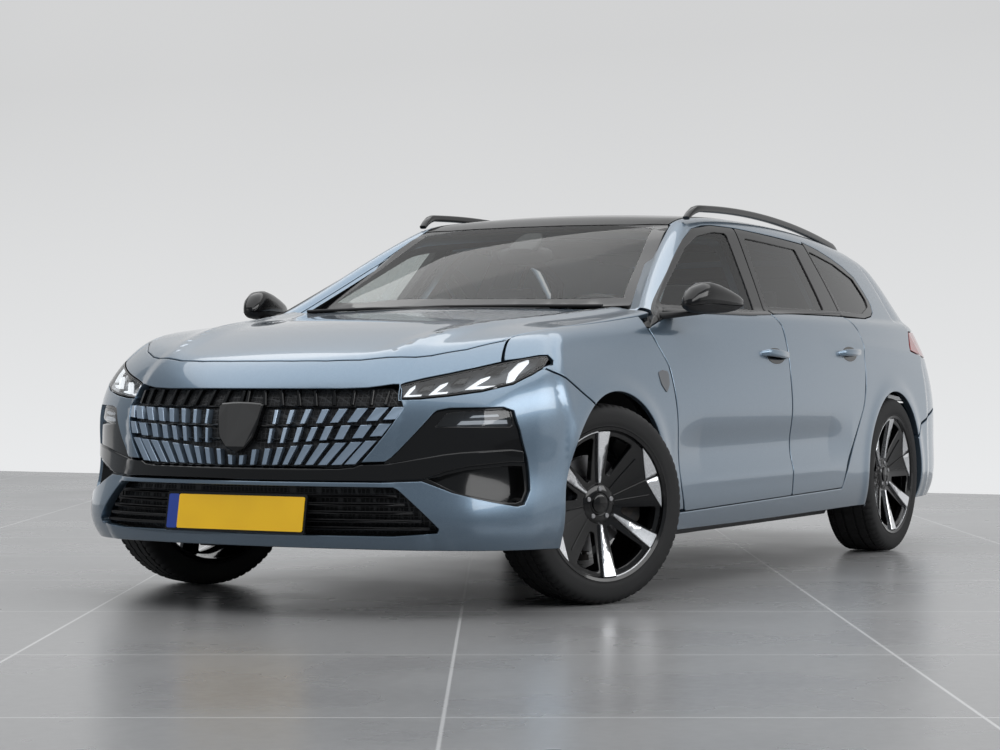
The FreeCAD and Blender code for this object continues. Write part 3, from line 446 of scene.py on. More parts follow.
# %% The material workbench
class Wire:
    """One output socket, with arithmetic."""

    def __init__(self, desk, socket):
        self.desk, self.socket = desk, socket

    def math(self, operation, other=None, clamp=False):
        values = {0: self} if other is None else {0: self, 1: other}
        return self.desk.node("ShaderNodeMath", {"operation": operation, "use_clamp": clamp}, values)

    def __add__(self, other):
        return self.math("ADD", other)

    def __sub__(self, other):
        return self.math("SUBTRACT", other)

    def __mul__(self, other):
        return self.math("MULTIPLY", other)

    def __truediv__(self, other):
        return self.math("DIVIDE", other)

    __radd__, __rmul__ = __add__, __mul__

    def above(self, edge, softness):
        """0 below the edge and 1 above it, with a short ramp between."""
        return ((self - edge) / softness + 0.5).math("MULTIPLY", 1.0, clamp=True)


class Desk:
    """A material being wired up."""

    def __init__(self, name):
        self.material = bpy.data.materials.new(name)
        self.material.use_nodes = True
        self.tree = self.material.node_tree
        self.tree.nodes.clear()
        self.output = self.tree.nodes.new("ShaderNodeOutputMaterial")

    def node(self, kind, settings=None, values=None, out=0):
        """Makes any node: settings first, then values or wires into its inputs. Gives back one output."""
        made = self.tree.nodes.new(kind)
        for key, value in (settings or {}).items():
            setattr(made, key, value)
        for key, value in (values or {}).items():
            if isinstance(value, Wire):
                self.tree.links.new(value.socket, made.inputs[key])
            else:
                made.inputs[key].default_value = value
        return Wire(self, made.outputs[out])

    def mix(self, share, a, b):
        """Colour a where the share is 0 and b where it is 1."""
        made = self.tree.nodes.new("ShaderNodeMix")
        made.data_type = "RGBA"
        # sockets 0, 6 and 7 are the share and the two colours, socket 2 the mixed colour
        for socket, value in zip((made.inputs[0], made.inputs[6], made.inputs[7]), (share, a, b)):
            if isinstance(value, Wire):
                self.tree.links.new(value.socket, socket)
            else:
                socket.default_value = value if socket is made.inputs[0] else (*value, 1.0)
        return Wire(self, made.outputs[2])

    def place(self):
        """The point on the object, in metres."""
        return self.node("ShaderNodeTexCoord", out="Object")

    def axes(self):
        """The point's x, y and z, each as a wire."""
        split = self.tree.nodes.new("ShaderNodeSeparateXYZ")
        self.tree.links.new(self.place().socket, split.inputs[0])
        return [Wire(self, output) for output in split.outputs]

    def noise(self, scale, detail=2.0, rough=0.5):
        return self.node("ShaderNodeTexNoise", {}, {"Vector": self.place(), "Scale": scale, "Detail": detail,
                                                    "Roughness": rough})

    def bump(self, height, strength, distance=0.001):
        return self.node("ShaderNodeBump", {}, {"Height": height, "Strength": strength, "Distance": distance})

    def surface(self, **values):
        """The Principled surface, with inputs by name (underscores for spaces), wired to the output."""
        made = self.tree.nodes.new("ShaderNodeBsdfPrincipled")
        for key, value in values.items():
            socket = made.inputs[key.replace("_", " ")]
            if isinstance(value, Wire):
                self.tree.links.new(value.socket, socket)
            elif key in ("Base_Color", "Emission_Color"):
                socket.default_value = (*value, 1.0)
            else:
                socket.default_value = value
        self.finish(Wire(self, made.outputs[0]))

    def finish(self, shader):
        """Lets a shader be the material's surface."""
        self.tree.links.new(shader.socket, self.output.inputs[0])


# %% [markdown]
# ## The finishes
# Paint is a metallic base with a fine flake that varies its roughness and tint, under a clear coat. Glass is
# thin: a mix of clear and glossy, so that the cabin shows without caustics. Plastics and rubber get a grain.


# %% Paint, glass and the other finishes
def paint(desk):
    flake = desk.noise(900.0, 1.0)
    broad = desk.noise(2.5, 1.0)
    colour = desk.mix(flake.above(0.52, 0.3), (0.125, 0.185, 0.255), (0.195, 0.265, 0.335))
    desk.surface(Base_Color=colour, Metallic=0.80, Roughness=0.25 + flake * 0.06 + broad * 0.03,
                 Coat_Weight=1.0, Coat_Roughness=0.03, Coat_IOR=1.5)


def gloss_black(desk):
    speck = desk.noise(40.0)
    desk.surface(Base_Color=(0.0025, 0.0025, 0.003), Roughness=0.10 + speck * 0.05, Specular_IOR_Level=0.25,
                 Coat_Weight=0.35, Coat_Roughness=0.03)


def grained(base, low, high, strength):
    """Moulded plastic or rubber: roughness from low to high, and a fine grain of a given strength."""
    def build(desk):
        grain = desk.noise(420.0, 3.0)
        cloud = desk.noise(7.0)
        desk.surface(Base_Color=desk.mix(cloud, base, tuple(c * 1.25 for c in base)),
                     Roughness=low + cloud * (high - low), Normal=desk.bump(grain, strength, 0.0006))
    return build


def iron(desk):
    rust = desk.noise(18.0, 4.0, 0.6)
    desk.surface(Base_Color=desk.mix(rust.above(0.56, 0.2), (0.035, 0.036, 0.038), (0.075, 0.060, 0.050)),
                 Metallic=0.5, Roughness=0.5 + rust * 0.2, Normal=desk.bump(rust, 0.2, 0.001))


def machined(desk):
    """Turned alloy under lacquer: fine rings show only as changing roughness."""
    rings = desk.noise(600.0, 1.0)
    desk.surface(Base_Color=(0.74, 0.75, 0.77), Metallic=1.0, Roughness=0.20 + rings * 0.12, Coat_Weight=0.5)


def clear_glass(tint, share):
    """Thin glass: mostly what lies behind, tinted, with a sharp reflection that grows at low angles."""
    def build(desk):
        facing = desk.node("ShaderNodeFresnel", {}, {"IOR": 1.5})
        through = desk.node("ShaderNodeBsdfTransparent", {}, {"Color": (*tint, 1.0)})
        shine = desk.node("ShaderNodeBsdfGlossy", {}, {"Color": (1, 1, 1, 1), "Roughness": 0.01})
        waves = desk.noise(3.0)
        desk.finish(desk.node("ShaderNodeMixShader", {}, {0: facing * share + waves * 0.01, 1: through, 2: shine}))
    return build


def rotor(desk):
    rings = desk.noise(300.0, 1.0)
    desk.surface(Base_Color=(0.32, 0.32, 0.33), Metallic=1.0, Roughness=0.30 + rings * 0.15)


def cloth(desk):
    weave = desk.noise(700.0, 2.0)
    cloud = desk.noise(9.0)
    desk.surface(Base_Color=desk.mix(cloud, (0.020, 0.021, 0.024), (0.034, 0.035, 0.038)),
                 Roughness=0.72 + weave * 0.1, Normal=desk.bump(weave, 0.35, 0.001), Sheen_Weight=0.3)


def lamp_red(desk):
    ribs = desk.node("ShaderNodeTexWave", {"wave_type": "BANDS", "bands_direction": "Z"},
                     {"Vector": desk.place(), "Scale": 60.0, "Distortion": 0.0}, out="Fac")
    desk.surface(Base_Color=desk.mix(ribs.above(0.5, 0.5), (0.20, 0.006, 0.008), (0.36, 0.012, 0.014)),
                 Roughness=0.10 + ribs * 0.08, Coat_Weight=1.0, Coat_Roughness=0.02)


def tile(desk):
    """Bright satin lacquer of the grille's tiles: the paint's hue, lighter."""
    speck = desk.noise(300.0, 1.0)
    desk.surface(Base_Color=(0.33, 0.42, 0.53), Metallic=0.75, Roughness=0.26 + speck * 0.08, Coat_Weight=0.8)


def mesh_black(desk):
    """Black moulded mesh: a cell pattern that only dents the surface."""
    cells = desk.node("ShaderNodeTexVoronoi", {"feature": "DISTANCE_TO_EDGE"},
                      {"Vector": desk.place(), "Scale": 70.0, "Randomness": 0.0})
    wire = cells.above(0.12, 0.08)
    desk.surface(Base_Color=desk.mix(wire, (0.018, 0.019, 0.021), (0.004, 0.004, 0.005)),
                 Roughness=0.35 + wire * 0.3, Normal=desk.bump(wire, 0.8, 0.003))


def glow(colour, strength):
    """A lit surface."""
    def build(desk):
        soft = desk.noise(60.0)
        desk.surface(Base_Color=(0.8, 0.8, 0.8), Roughness=0.3 + soft * 0.1, Emission_Color=colour,
                     Emission_Strength=strength)
    return build


TILE, TILE_TURN = 1.2, 28.4      # side in metres, turn in degrees


def floor_tiles(desk):
    """Grey tiles 1.2 m square, laid askew to the car, with light joints."""
    x, y, _ = desk.axes()
    turn = math.radians(TILE_TURN)
    lines = None
    for at in (x * math.cos(turn) + y * math.sin(turn), y * math.cos(turn) - x * math.sin(turn)):
        off = (((at / TILE + 0.35).math("FRACT") - 0.5).math("ABSOLUTE")).above(0.4965, 0.003)
        lines = off if lines is None else lines.math("MAXIMUM", off)
    cloud = desk.noise(1.2, 4.0, 0.6)
    speck = desk.noise(24.0, 3.0, 0.7)
    ground = desk.mix(cloud * 0.5 + speck * 0.5, (0.17, 0.17, 0.172), (0.33, 0.33, 0.332))
    desk.surface(Base_Color=desk.mix(lines, ground, (0.50, 0.50, 0.50)), Roughness=0.20 + cloud * 0.16)


def wall_grey(desk):
    """Painted wall that shows as pale to the eye and to mirrors, and as nothing from behind."""
    _, _, height = desk.axes()
    cloud = desk.noise(0.25)
    # painted shade: the wall's glow is darker towards the top
    shade = desk.mix(height.above(1.6, 3.0), (0.80, 0.81, 0.82), (0.60, 0.605, 0.61))
    seen, glossy, through = [desk.node("ShaderNodeLightPath", out=f"Is {kind} Ray")
                             for kind in ("Camera", "Glossy", "Transmission")]
    plain = desk.node("ShaderNodeBsdfDiffuse", {}, {"Color": (0.75, 0.76, 0.77, 1.0), "Roughness": 0.5})
    glow_colour = desk.mix(cloud * 0.25, shade, (0.9, 0.9, 0.9))
    pale = desk.node("ShaderNodeEmission", {}, {"Color": glow_colour, "Strength": 1.0})
    looked_at = seen.math("MAXIMUM", glossy).math("MAXIMUM", through)
    both = desk.node("ShaderNodeMixShader", {}, {0: looked_at, 1: plain, 2: pale})
    behind = desk.node("ShaderNodeNewGeometry", out="Backfacing")
    nothing = desk.node("ShaderNodeBsdfTransparent")
    desk.finish(desk.node("ShaderNodeMixShader", {}, {0: behind, 1: both, 2: nothing}))


materials = {}
for name, build in {
        "paint": paint, "gloss_black": gloss_black, "iron": iron, "machined": machined, "rotor": rotor,
        "cloth": cloth, "lamp_red": lamp_red, "strokes": glow((0.93, 0.96, 1.0), 0.8),
        "tile": tile, "mesh_black": mesh_black, "smoke": clear_glass((0.30, 0.32, 0.34), 1.2),
        "lamp_grey": grained((0.085, 0.090, 0.098), 0.22, 0.34, 0.06),
        "plate_yellow": grained((0.95, 0.55, 0.004), 0.32, 0.40, 0.02),
        "plate_blue": grained((0.010, 0.045, 0.30), 0.32, 0.40, 0.02),
        "plastic": grained((0.007, 0.007, 0.008), 0.50, 0.66, 0.25),
        "rubber": grained((0.006, 0.006, 0.0065), 0.66, 0.80, 0.35),
        "headlining": grained((0.30, 0.30, 0.29), 0.75, 0.88, 0.20),
        "inner_metal": grained((0.020, 0.021, 0.023), 0.40, 0.55, 0.10),
        "glass": clear_glass((0.91, 0.955, 0.94), 0.6), "dark_glass": clear_glass((0.45, 0.50, 0.50), 1.0),
        "lens": clear_glass((0.93, 0.95, 0.96), 0.9), "floor": floor_tiles, "wall": wall_grey}.items():
    desk = Desk(name)
    build(desk)
    materials[name] = desk.material
print("finishes", sorted(materials))

# %% [markdown]
# ## Dressing the frame
# Every node of the frame that stays in sight gets a finish. The frame's own meshes are left exactly as they
# are.

# %% A finish for each node of the frame
SIDES = ((1, "left"), (-1, "right"))
CORNERS = [f"{end}_{tag}" for end in ("front", "rear") for _, tag in SIDES]


def pair(name):
    """The two nodes, left and right, that share a name."""
    return [f"{name}_{tag}" for _, tag in SIDES]


LOOKS = {
    "paint": [f"door_{c}" for c in CORNERS] + pair("fender") + pair("side_frame")
    + ["bonnet", "tailgate", "front_bumper", "rear_bumper"],
    "gloss_black": ["roof_panel", "roof_rails", "grille", "corner_trims"] + pair("mirror")
    + [f"rim_{c}" for c in CORNERS],
    "glass": ["windscreen"] + pair("glass_front_door") + pair("glass_rear_door"),
    "dark_glass": ["quarter_glass", "tailgate_glass"],
    "lens": ["headlamps"],
    "lamp_red": ["tail_lamps"],
    "rubber": [f"tyre_{c}" for c in CORNERS],
    "cloth": ["front_seats", "rear_seat"],
    "plastic": ["dashboard", "fuel_tank"],
    "inner_metal": ["floor_pan", "bulkhead"],
    "iron": ["engine_block", "front_suspension", "rear_axle", "silencer"] + pair("knuckle"),
}
for look, names in LOOKS.items():
    for name in names:
        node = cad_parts[name]
        node.data.materials.clear()
        node.data.materials.append(materials[look])
undressed = set(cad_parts) - {n for names in LOOKS.values() for n in names}
print("nodes without a finish:", sorted(undressed))

# %% Camera at the viewer's place
CAMERA_AT, YAW, PITCH, LENS = (8.622, 4.330, 0.751), 208.426, 0.099, 85.4      # metres, degrees, degrees, mm
camera = bpy.data.objects.new("camera", bpy.data.cameras.new("camera"))
bpy.context.scene.collection.objects.link(camera)
camera.location = CAMERA_AT
camera.rotation_euler = (math.radians(90 + PITCH), 0, math.radians(YAW - 90))
camera.data.lens, camera.data.sensor_width, camera.data.clip_end = LENS, 36, 200
bpy.context.scene.camera = camera


# %% Meshes from points and faces
def add_mesh(name, points, faces, material, smooth=False):
    """A mesh object from plain lists."""
    mesh = bpy.data.meshes.new(name)
    mesh.from_pydata([tuple(map(float, p)) for p in points], [], [tuple(map(int, f)) for f in faces])
    mesh.materials.append(material)
    if smooth:
        mesh.polygons.foreach_set("use_smooth", [True] * len(mesh.polygons))
    mesh.update()
    made = bpy.data.objects.new(name, mesh)
    bpy.context.scene.collection.objects.link(made)
    return made


def turned_out(piece, sharp=None):
    """Turns a mesh's faces outwards, and keeps edges sharp that bend by more than so many degrees."""
    shaped = bmesh.new()
    shaped.from_mesh(piece.data)
    bmesh.ops.recalc_face_normals(shaped, faces=shaped.faces)
    for edge in shaped.edges if sharp else ():
        edge.smooth = len(edge.link_faces) < 2 or edge.calc_face_angle(0) < math.radians(sharp)
    shaped.to_mesh(piece.data)
    shaped.free()
    return piece


def mirrored(piece):
    """Turns a mesh into its own mirror image across the car."""
    piece.data.flip_normals()
    for v in piece.data.vertices:
        v.co.y = -v.co.y


# %% [markdown]
# ## Pressing a panel
# `press` fills an outline with triangles, throws them onto the skin, turns the rim in and, for doors and
# lids, closes the back with an inner skin at the panel's real thickness.


# %% The press
DOOR_THICK, FRAME_THICK, LID_THICK, GATE_THICK = 0.058, 0.040, 0.038, 0.056
PANE = {"depth": 0.006, "gap": -0.004, "hem": 0.004, "spacing": 0.03}          # side glass, a little sunk
LAID_ON = {"depth": -0.003, "gap": 0.0, "hem": 0.006, "spacing": 0.03}          # trim laid onto a panel


def traced(carrier, runs, spacing=0.012):
    """Runs of points, each drawn in its own view, joined into one loop in a carrier's own drawing."""
    pieces = []
    for view, points in runs:
        path = evenly(np.array([p[:2] for p in points], float), spacing, closed=False)
        pieces.append(path if view is carrier else carrier.locate(view.onto(path)))
    return without_doubles(np.concatenate(pieces))


def arc(centre, radius, start, end, count=24):
    """Points on a circle, angles in degrees."""
    turns = np.radians(np.linspace(start, end, count))
    return [(centre[0] + radius * math.cos(t), centre[1] + radius * math.sin(t)) for t in turns]


ROW_STEP = 0.866        # height of a triangle with equal sides of 1
CLEAR = 0.55            # net points keep this many spacings off the outline
BATCH = 2000            # points measured at once


def filled(loops, spacing):
    """Triangles that fill the first loop less the others. Gives points and triangles; loop points come first."""
    outer = loops[0]
    low, high = outer.min(axis=0), outer.max(axis=0)
    a = np.arange(low[0], high[0], spacing)
    b = np.arange(low[1], high[1], spacing * ROW_STEP)
    grid = np.array([(x + (0.5 * spacing if j % 2 else 0), y) for j, y in enumerate(b) for x in a])
    inside = within(grid, outer)
    for hole in loops[1:]:
        inside &= ~within(grid, hole)
    grid = grid[inside]
    edge_points = np.concatenate(loops)
    clear = np.ones(len(grid), bool)
    for start in range(0, len(grid), BATCH):
        part = grid[start:start + BATCH]
        gap = np.sqrt(((part[:, None] - edge_points[None]) ** 2).sum(axis=2)).min(axis=1)
        clear[start:start + BATCH] = gap > spacing * CLEAR
    points = np.concatenate([edge_points, grid[clear]])
    edges, first = [], 0
    for loop in loops:
        n = len(loop)
        edges += [(first + k, first + (k + 1) % n) for k in range(n)]
        first += n
    made = delaunay_2d_cdt([Vector(p) for p in points], edges, [], 0, 1e-7)
    spots = np.array([tuple(v) for v in made[0]])
    faces = np.array([f for f in made[2] if len(f) == 3])
    middle = spots[faces].mean(axis=1)
    keep = within(middle, outer)
    for hole in loops[1:]:
        keep &= ~within(middle, hole)
    faces = faces[keep]
    a, b, c = spots[faces[:, 0]], spots[faces[:, 1]], spots[faces[:, 2]]
    turn = (b[:, 0] - a[:, 0]) * (c[:, 1] - a[:, 1]) - (b[:, 1] - a[:, 1]) * (c[:, 0] - a[:, 0])
    faces[turn < 0] = faces[turn < 0][:, ::-1]
    return spots, faces


def press(name, carrier, outline, holes=(), gap=0.002, depth=0.0, edge=0.0025, hem=0.014, thick=None,
          spacing=0.016, skin="paint", rim=None, back="plastic", side=1, step=0.014):
    """One pressed panel as an object; side=-1 makes its mirror image on the other flank.

    gap: how far the rim stays inside the outline. edge: the rim's rounding. hem: how deep the rim turns in.
    depth: how deep the face lies under the skin. thick: closes the back that deep, step in from the rim.
    skin, rim and back name the finishes.
    """
    loops = [shrunk(np.array(outline), gap)] + [shrunk(np.array(h), -gap)[::-1] for h in holes]
    insets = [shrunk(np.array(outline), gap + edge)] + [shrunk(np.array(h), -gap - edge)[::-1] for h in holes]
    spots, faces = filled(insets, spacing)
    top = carrier.onto(spots, depth)
    up_all = outward(top, form=carrier.form)
    sense = np.cross(top[faces[:, 1]] - top[faces[:, 0]], top[faces[:, 2]] - top[faces[:, 0]])
    flip = (sense * up_all[faces[:, 0]]).sum() < 0
    points, normals = [top], [up_all]
    triangles, looks = [faces[:, ::-1] if flip else faces], [np.zeros(len(faces), int)]
    base, first = len(top), 0

    def band(a, b, c, d, look):
        """Two triangles a place between two rings: a and c along the first, b and d along the second."""
        strip = np.concatenate([np.stack([a, b, d], 1), np.stack([a, d, c], 1)])
        triangles.append(strip[:, ::-1] if flip else strip)
        looks.append(np.full(len(strip), look))

    for number, (loop, inset) in enumerate(zip(loops, insets)):
        n = len(loop)
        k = np.arange(n)
        ahead = (k + 1) % n
        rolled = carrier.onto(loop, depth + edge * 0.7)
        up = up_all[first:first + n]
        out = rolled - top[first:first + n]
        out = out - up * (out * up).sum(axis=1, keepdims=True)
        out /= np.maximum(np.linalg.norm(out, axis=1, keepdims=True), 1e-9)
        deep = carrier.onto(loop, depth + hem)
        points += [rolled, rolled, deep]
        normals += [up * 0.6 + out * 0.8, out, out]
        band(first + k, base + k, first + ahead, base + ahead, 0)
        band(base + n + k, base + 2 * n + k, base + n + ahead, base + 2 * n + ahead, 1)
        base += 3 * n
        if thick is not None:
            set_back = step if number == 0 else 0.0
            inner = shrunk(loop if number == 0 else loop[::-1], set_back)
            inner = inner if number == 0 else inner[::-1]
            ledge, foot = carrier.onto(inner, depth + hem), carrier.onto(inner, depth + thick)
            points += [deep, ledge, ledge, foot]
            normals += [-up, -up, out, out]
            band(base + k, base + n + k, base + ahead, base + n + ahead, 1)
            band(base + 2 * n + k, base + 3 * n + k, base + 2 * n + ahead, base + 3 * n + ahead, 1)
            base += 4 * n
        first += n
    if thick is not None:
        inner_loops = [shrunk(loops[0], step)] + loops[1:]
        spots, faces = filled(inner_loops, spacing * 1.6)
        under = carrier.onto(spots, depth + thick)
        points.append(under)
        normals.append(-outward(under, form=carrier.form))
        triangles.append((faces if flip else faces[:, ::-1]) + base)
        looks.append(np.full(len(faces), 2))
    points, normals = np.concatenate(points), np.concatenate(normals)
    triangles, looks = np.concatenate(triangles), np.concatenate(looks)
    if side < 0:
        points, normals = points * (1, -1, 1), normals * (1, -1, 1)
        triangles = triangles[:, ::-1]
    made = add_mesh(name, points, triangles, materials[skin], smooth=True)
    made.data.materials.append(materials[rim or skin])
    made.data.materials.append(materials[back])
    made.data.polygons.foreach_set("material_index", looks)
    made.data.normals_split_custom_set_from_vertices([tuple(map(float, n)) for n in normals])
    return made


tally = {}


def fit(piece, body_name, *nodes, slot=None):
    """Lets a piece ride a body and stand for CAD nodes. The slot is not used."""
    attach(piece, body_name)
    if nodes:
        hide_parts(*nodes)
    tally[piece.name] = len(piece.data.polygons)


def panel(name, carrier, outline, holes=(), on="body", node=None, slot=None, **cut):
    """Presses a piece and fits it to a body, in the place of a CAD node."""
    fit(press(name, carrier, outline, holes, **cut), on, *([node] if node else []), slot=slot)


# %% [markdown]
# ## Doors and their glass
# A door is one press: painted below the waist, gloss black around the window. The outline below the waist and
# the frame above it are two pieces that meet under the waist strip.

# %% Outlines of the doors and windows, side view, in metres
FRONT_DOOR = [(0.949, 0.284, 0.02), (0.994, 0.379, 0.3), (1.018, 0.600, 0.5), (1.035, 0.791, 0.06),
              (1.108, 0.926, 0.008), (0.944, 1.004, 0.02), (0.572, 1.184, 0.5), (0.365, 1.280, 0.3),
              (0.216, 1.334, 0.2), (0.050, 1.356, 0.2), (-0.140, 1.354, 0.01), (0.008, 1.022, 0.01),
              (-0.058, 0.960, 0.02), (-0.052, 0.760), (-0.070, 0.484, 0.1), (-0.068, 0.296, 0.012)]
REAR_DOOR = [(-0.073, 0.296, 0.012), (-0.075, 0.484, 0.1), (-0.057, 0.760), (-0.063, 0.957, 0.02),
             (0.003, 1.022, 0.01), (-0.147, 1.354, 0.01), (-0.790, 1.318, 0.012), (-0.845, 1.036, 0.008),
             (-0.957, 0.952, 0.03), (-0.946, 0.792, 0.06), (-0.905, 0.640, 0.2), (-0.690, 0.400, 0.06),
             (-0.640, 0.303, 0.02)]
FRONT_GLASS = [(0.880, 1.022, 0.006), (0.575, 1.156), (0.372, 1.250, 0.3), (0.225, 1.300, 0.2),
               (0.070, 1.324, 0.2), (-0.036, 1.324, 0.01), (0.100, 1.020, 0.008)]
REAR_GLASS = [(-0.042, 1.036, 0.008), (-0.180, 1.312, 0.01), (-0.655, 1.288, 0.01), (-0.662, 1.038, 0.008)]
QUARTER_GLASS = [(-0.882, 1.038, 0.01), (-0.812, 1.290, 0.012), (-1.075, 1.245), (-1.262, 1.186, 0.02),
                 (-1.340, 1.076, 0.03), (-1.180, 1.036, 0.03)]
WAIST_LINE = [(2.6, 0.90), (1.110, 0.928), (0.881, 0.984), (0.293, 1.004), (-0.018, 1.012), (-0.836, 1.016),
              (-1.156, 1.016), (-2.6, 1.016)]


def belt_height(x):
    """Height of the waist line, where paint ends and the window frame begins."""
    line = np.array(WAIST_LINE)[::-1]
    return np.interp(x, line[:, 0], line[:, 1])


def cut_by_belt(path, above):
    """The part of an outline above or below the waist line."""
    side = path[:, 1] - belt_height(path[:, 0])
    keep = side > 0 if above else side < 0
    out = []
    for k in range(len(path)):
        j = (k + 1) % len(path)
        if keep[k]:
            out.append(path[k])
        if keep[k] != keep[j]:
            share = side[k] / (side[k] - side[j])
            out.append(path[k] + share * (path[j] - path[k]))
    out = np.array(out)
    full = []
    for a, b in zip(out, np.roll(out, -1, axis=0)):
        full.append(a)
        length = np.linalg.norm(b - a)
        if length > 0.03:
            for s in np.arange(0.012, length - 0.006, 0.012) / length:
                p = a + (b - a) * s
                full.append(np.array([p[0], belt_height(p[0])]))
    return np.array(full)


for side, tag in SIDES:
    for door, outline, window, tone in (("front", FRONT_DOOR, FRONT_GLASS, "glass"),
                                        ("rear", REAR_DOOR, REAR_GLASS, "dark_glass")):
        whole = rounded(outline)
        owner = f"door_{door}_{tag}"
        panel(f"skin_{owner}", from_side, cut_by_belt(whole, False), on=owner, node=owner, slot="body_paint",
              thick=DOOR_THICK, side=side)
        panel(f"window_frame_{owner}", from_side, cut_by_belt(whole, True), [rounded(window)], on=owner,
              node=owner, slot="trim_gloss_black", thick=FRAME_THICK, spacing=0.02, skin="gloss_black", side=side,
              gap=0.0015, step=0.010)
        panel(f"pane_{owner}", from_side, rounded(window), on=owner, node=f"glass_{door}_door_{tag}",
              slot="glass_clear" if door == "front" else "glass_dark", **PANE, skin=tone, side=side)
print("door triangles", {k: v for k, v in tally.items() if "left" in k})

# %% [markdown]
# ## Wings, nose, bonnet
# The wing rolls from the flank over to the bonnet, so its lines fan out from an axis along the car. The
# nose's lines fan out from an upright axis. The bonnet is thrown straight up.


# %% Front wings
FRONT_ARCH_RUN = [(1.655, 0.672)] + arc(*FRONT_ARCH, 62, 187, 40) + [(1.109, 0.290)]
BONNET_EDGE = [(1.100, 0.806), (1.300, 0.793), (1.500, 0.778), (1.720, 0.750), (1.905, 0.704)]
# the lamp's upper edge from its outer tip inwards, and its lower edge outwards, seen from the front
LAMP_TOP = [(0.828, 0.827), (0.816, 0.826), (0.741, 0.802), (0.690, 0.786), (0.628, 0.768), (0.560, 0.751),
            (0.500, 0.733), (0.495, 0.700)]
LAMP_LOW = [(0.495, 0.688), (0.570, 0.689), (0.649, 0.698), (0.729, 0.712), (0.797, 0.735), (0.828, 0.766),
            (0.841, 0.790), (0.838, 0.812)]
WING_CUT = [(1.880, 0.790), (1.800, 0.757), (1.730, 0.716), (1.655, 0.670)]
wing_loop = traced(around_wing, [
    (from_side, WING_CUT + FRONT_ARCH_RUN + [(0.962, 0.290), (0.994, 0.379), (1.010, 0.500), (1.020, 0.600),
                                           (1.034, 0.720), (1.042, 0.800), (1.075, 0.865), (1.112, 0.924)]),
    (from_top, BONNET_EDGE),
    (from_front, [(0.712, 0.888), (0.748, 0.810)]),
    (from_front, [(0.780, 0.816), (0.816, 0.828), (0.828, 0.829), (0.842, 0.812), (0.848, 0.798)])])
for side, tag in SIDES:
    panel(f"wing_{tag}", around_wing, wing_loop, node=f"fender_{tag}", slot="body_paint", side=side, hem=0.016)
print("wing", tally["wing_left"])

# %% Bonnet
bonnet_half = [(2.246, 0.0), (2.242, 0.120), (2.227, 0.240), (2.198, 0.350), (2.152, 0.450), (2.090, 0.545),
               (2.010, 0.630), (1.905, 0.702), (1.720, 0.754), (1.500, 0.778), (1.300, 0.793), (1.100, 0.806),
               (1.006, 0.807), (1.022, 0.700), (1.040, 0.560), (1.060, 0.430), (1.078, 0.300), (1.086, 0.150),
               (1.088, 0.0)]
bonnet_loop = evenly(np.array(both_halves(bonnet_half)), 0.014)
panel("bonnet_skin", from_top, bonnet_loop, on="bonnet", node="bonnet", slot="body_paint", thick=LID_THICK,
      hem=0.012, spacing=0.018, back="inner_metal", step=0.020)
print("bonnet", tally["bonnet_skin"])

# %% Nose and front bumper: one pressing with openings for the grille, the lamps, the intake and the corner trims
INTAKE = [(0.0, 0.262), (0.470, 0.262), (0.624, 0.272), (0.628, 0.284), (0.485, 0.405), (0.470, 0.412), (0.0, 0.414)]
intake_hole = traced(around_nose, [(from_front, mirror_run(INTAKE))])
# grille, dark band and corners open into each other, so they are one hole in the painted nose
MOUTH = [(0.0, 0.430), (0.435, 0.430), (0.569, 0.434), (0.700, 0.394), (0.834, 0.352), (0.846, 0.357),
         (0.852, 0.400), (0.842, 0.500), (0.828, 0.590), (0.812, 0.650), (0.790, 0.661), (0.660, 0.659),
         (0.628, 0.652), (0.560, 0.592), (0.466, 0.505), (0.445, 0.492), (0.368, 0.490), (0.440, 0.576),
         (0.505, 0.662), (0.500, 0.676), (0.494, 0.690), (0.497, 0.716), (0.490, 0.733), (0.470, 0.733),
         (0.434, 0.728), (0.384, 0.722), (0.3, 0.719), (0.0, 0.719)]
mouth_hole = traced(around_nose, [(from_front, mirror_run(MOUTH))])
side_run = [(1.880, 0.786), (1.800, 0.753), (1.730, 0.712), (1.657, 0.668)] + arc(*FRONT_ARCH, 62, -20.3, 20)
low_turn = around_nose.locate(from_side.onto(np.array([[1.832, 0.205]])))[0, 0]
low_edge = [(t, 0.205 + 0.012 * (1 - (t / low_turn) ** 2)) for t in np.linspace(low_turn, -low_turn, 60)]
left_half = traced(around_nose, [(from_top, bonnet_half[:8]), (from_front, [(0.715, 0.880), (0.745, 0.805)]
                   + LAMP_TOP[3:] + LAMP_LOW[:-1] + [(0.846, 0.798)]), (from_side, side_run), (around_nose,
                   low_edge[1:30])])
nose_loop = without_doubles(np.concatenate([left_half, (left_half * (-1, 1))[::-1]]))
panel("nose", around_nose, nose_loop, [mouth_hole, intake_hole], node="front_bumper", slot="body_paint",
      hem=0.030, spacing=0.016)
print("nose", tally["nose"])
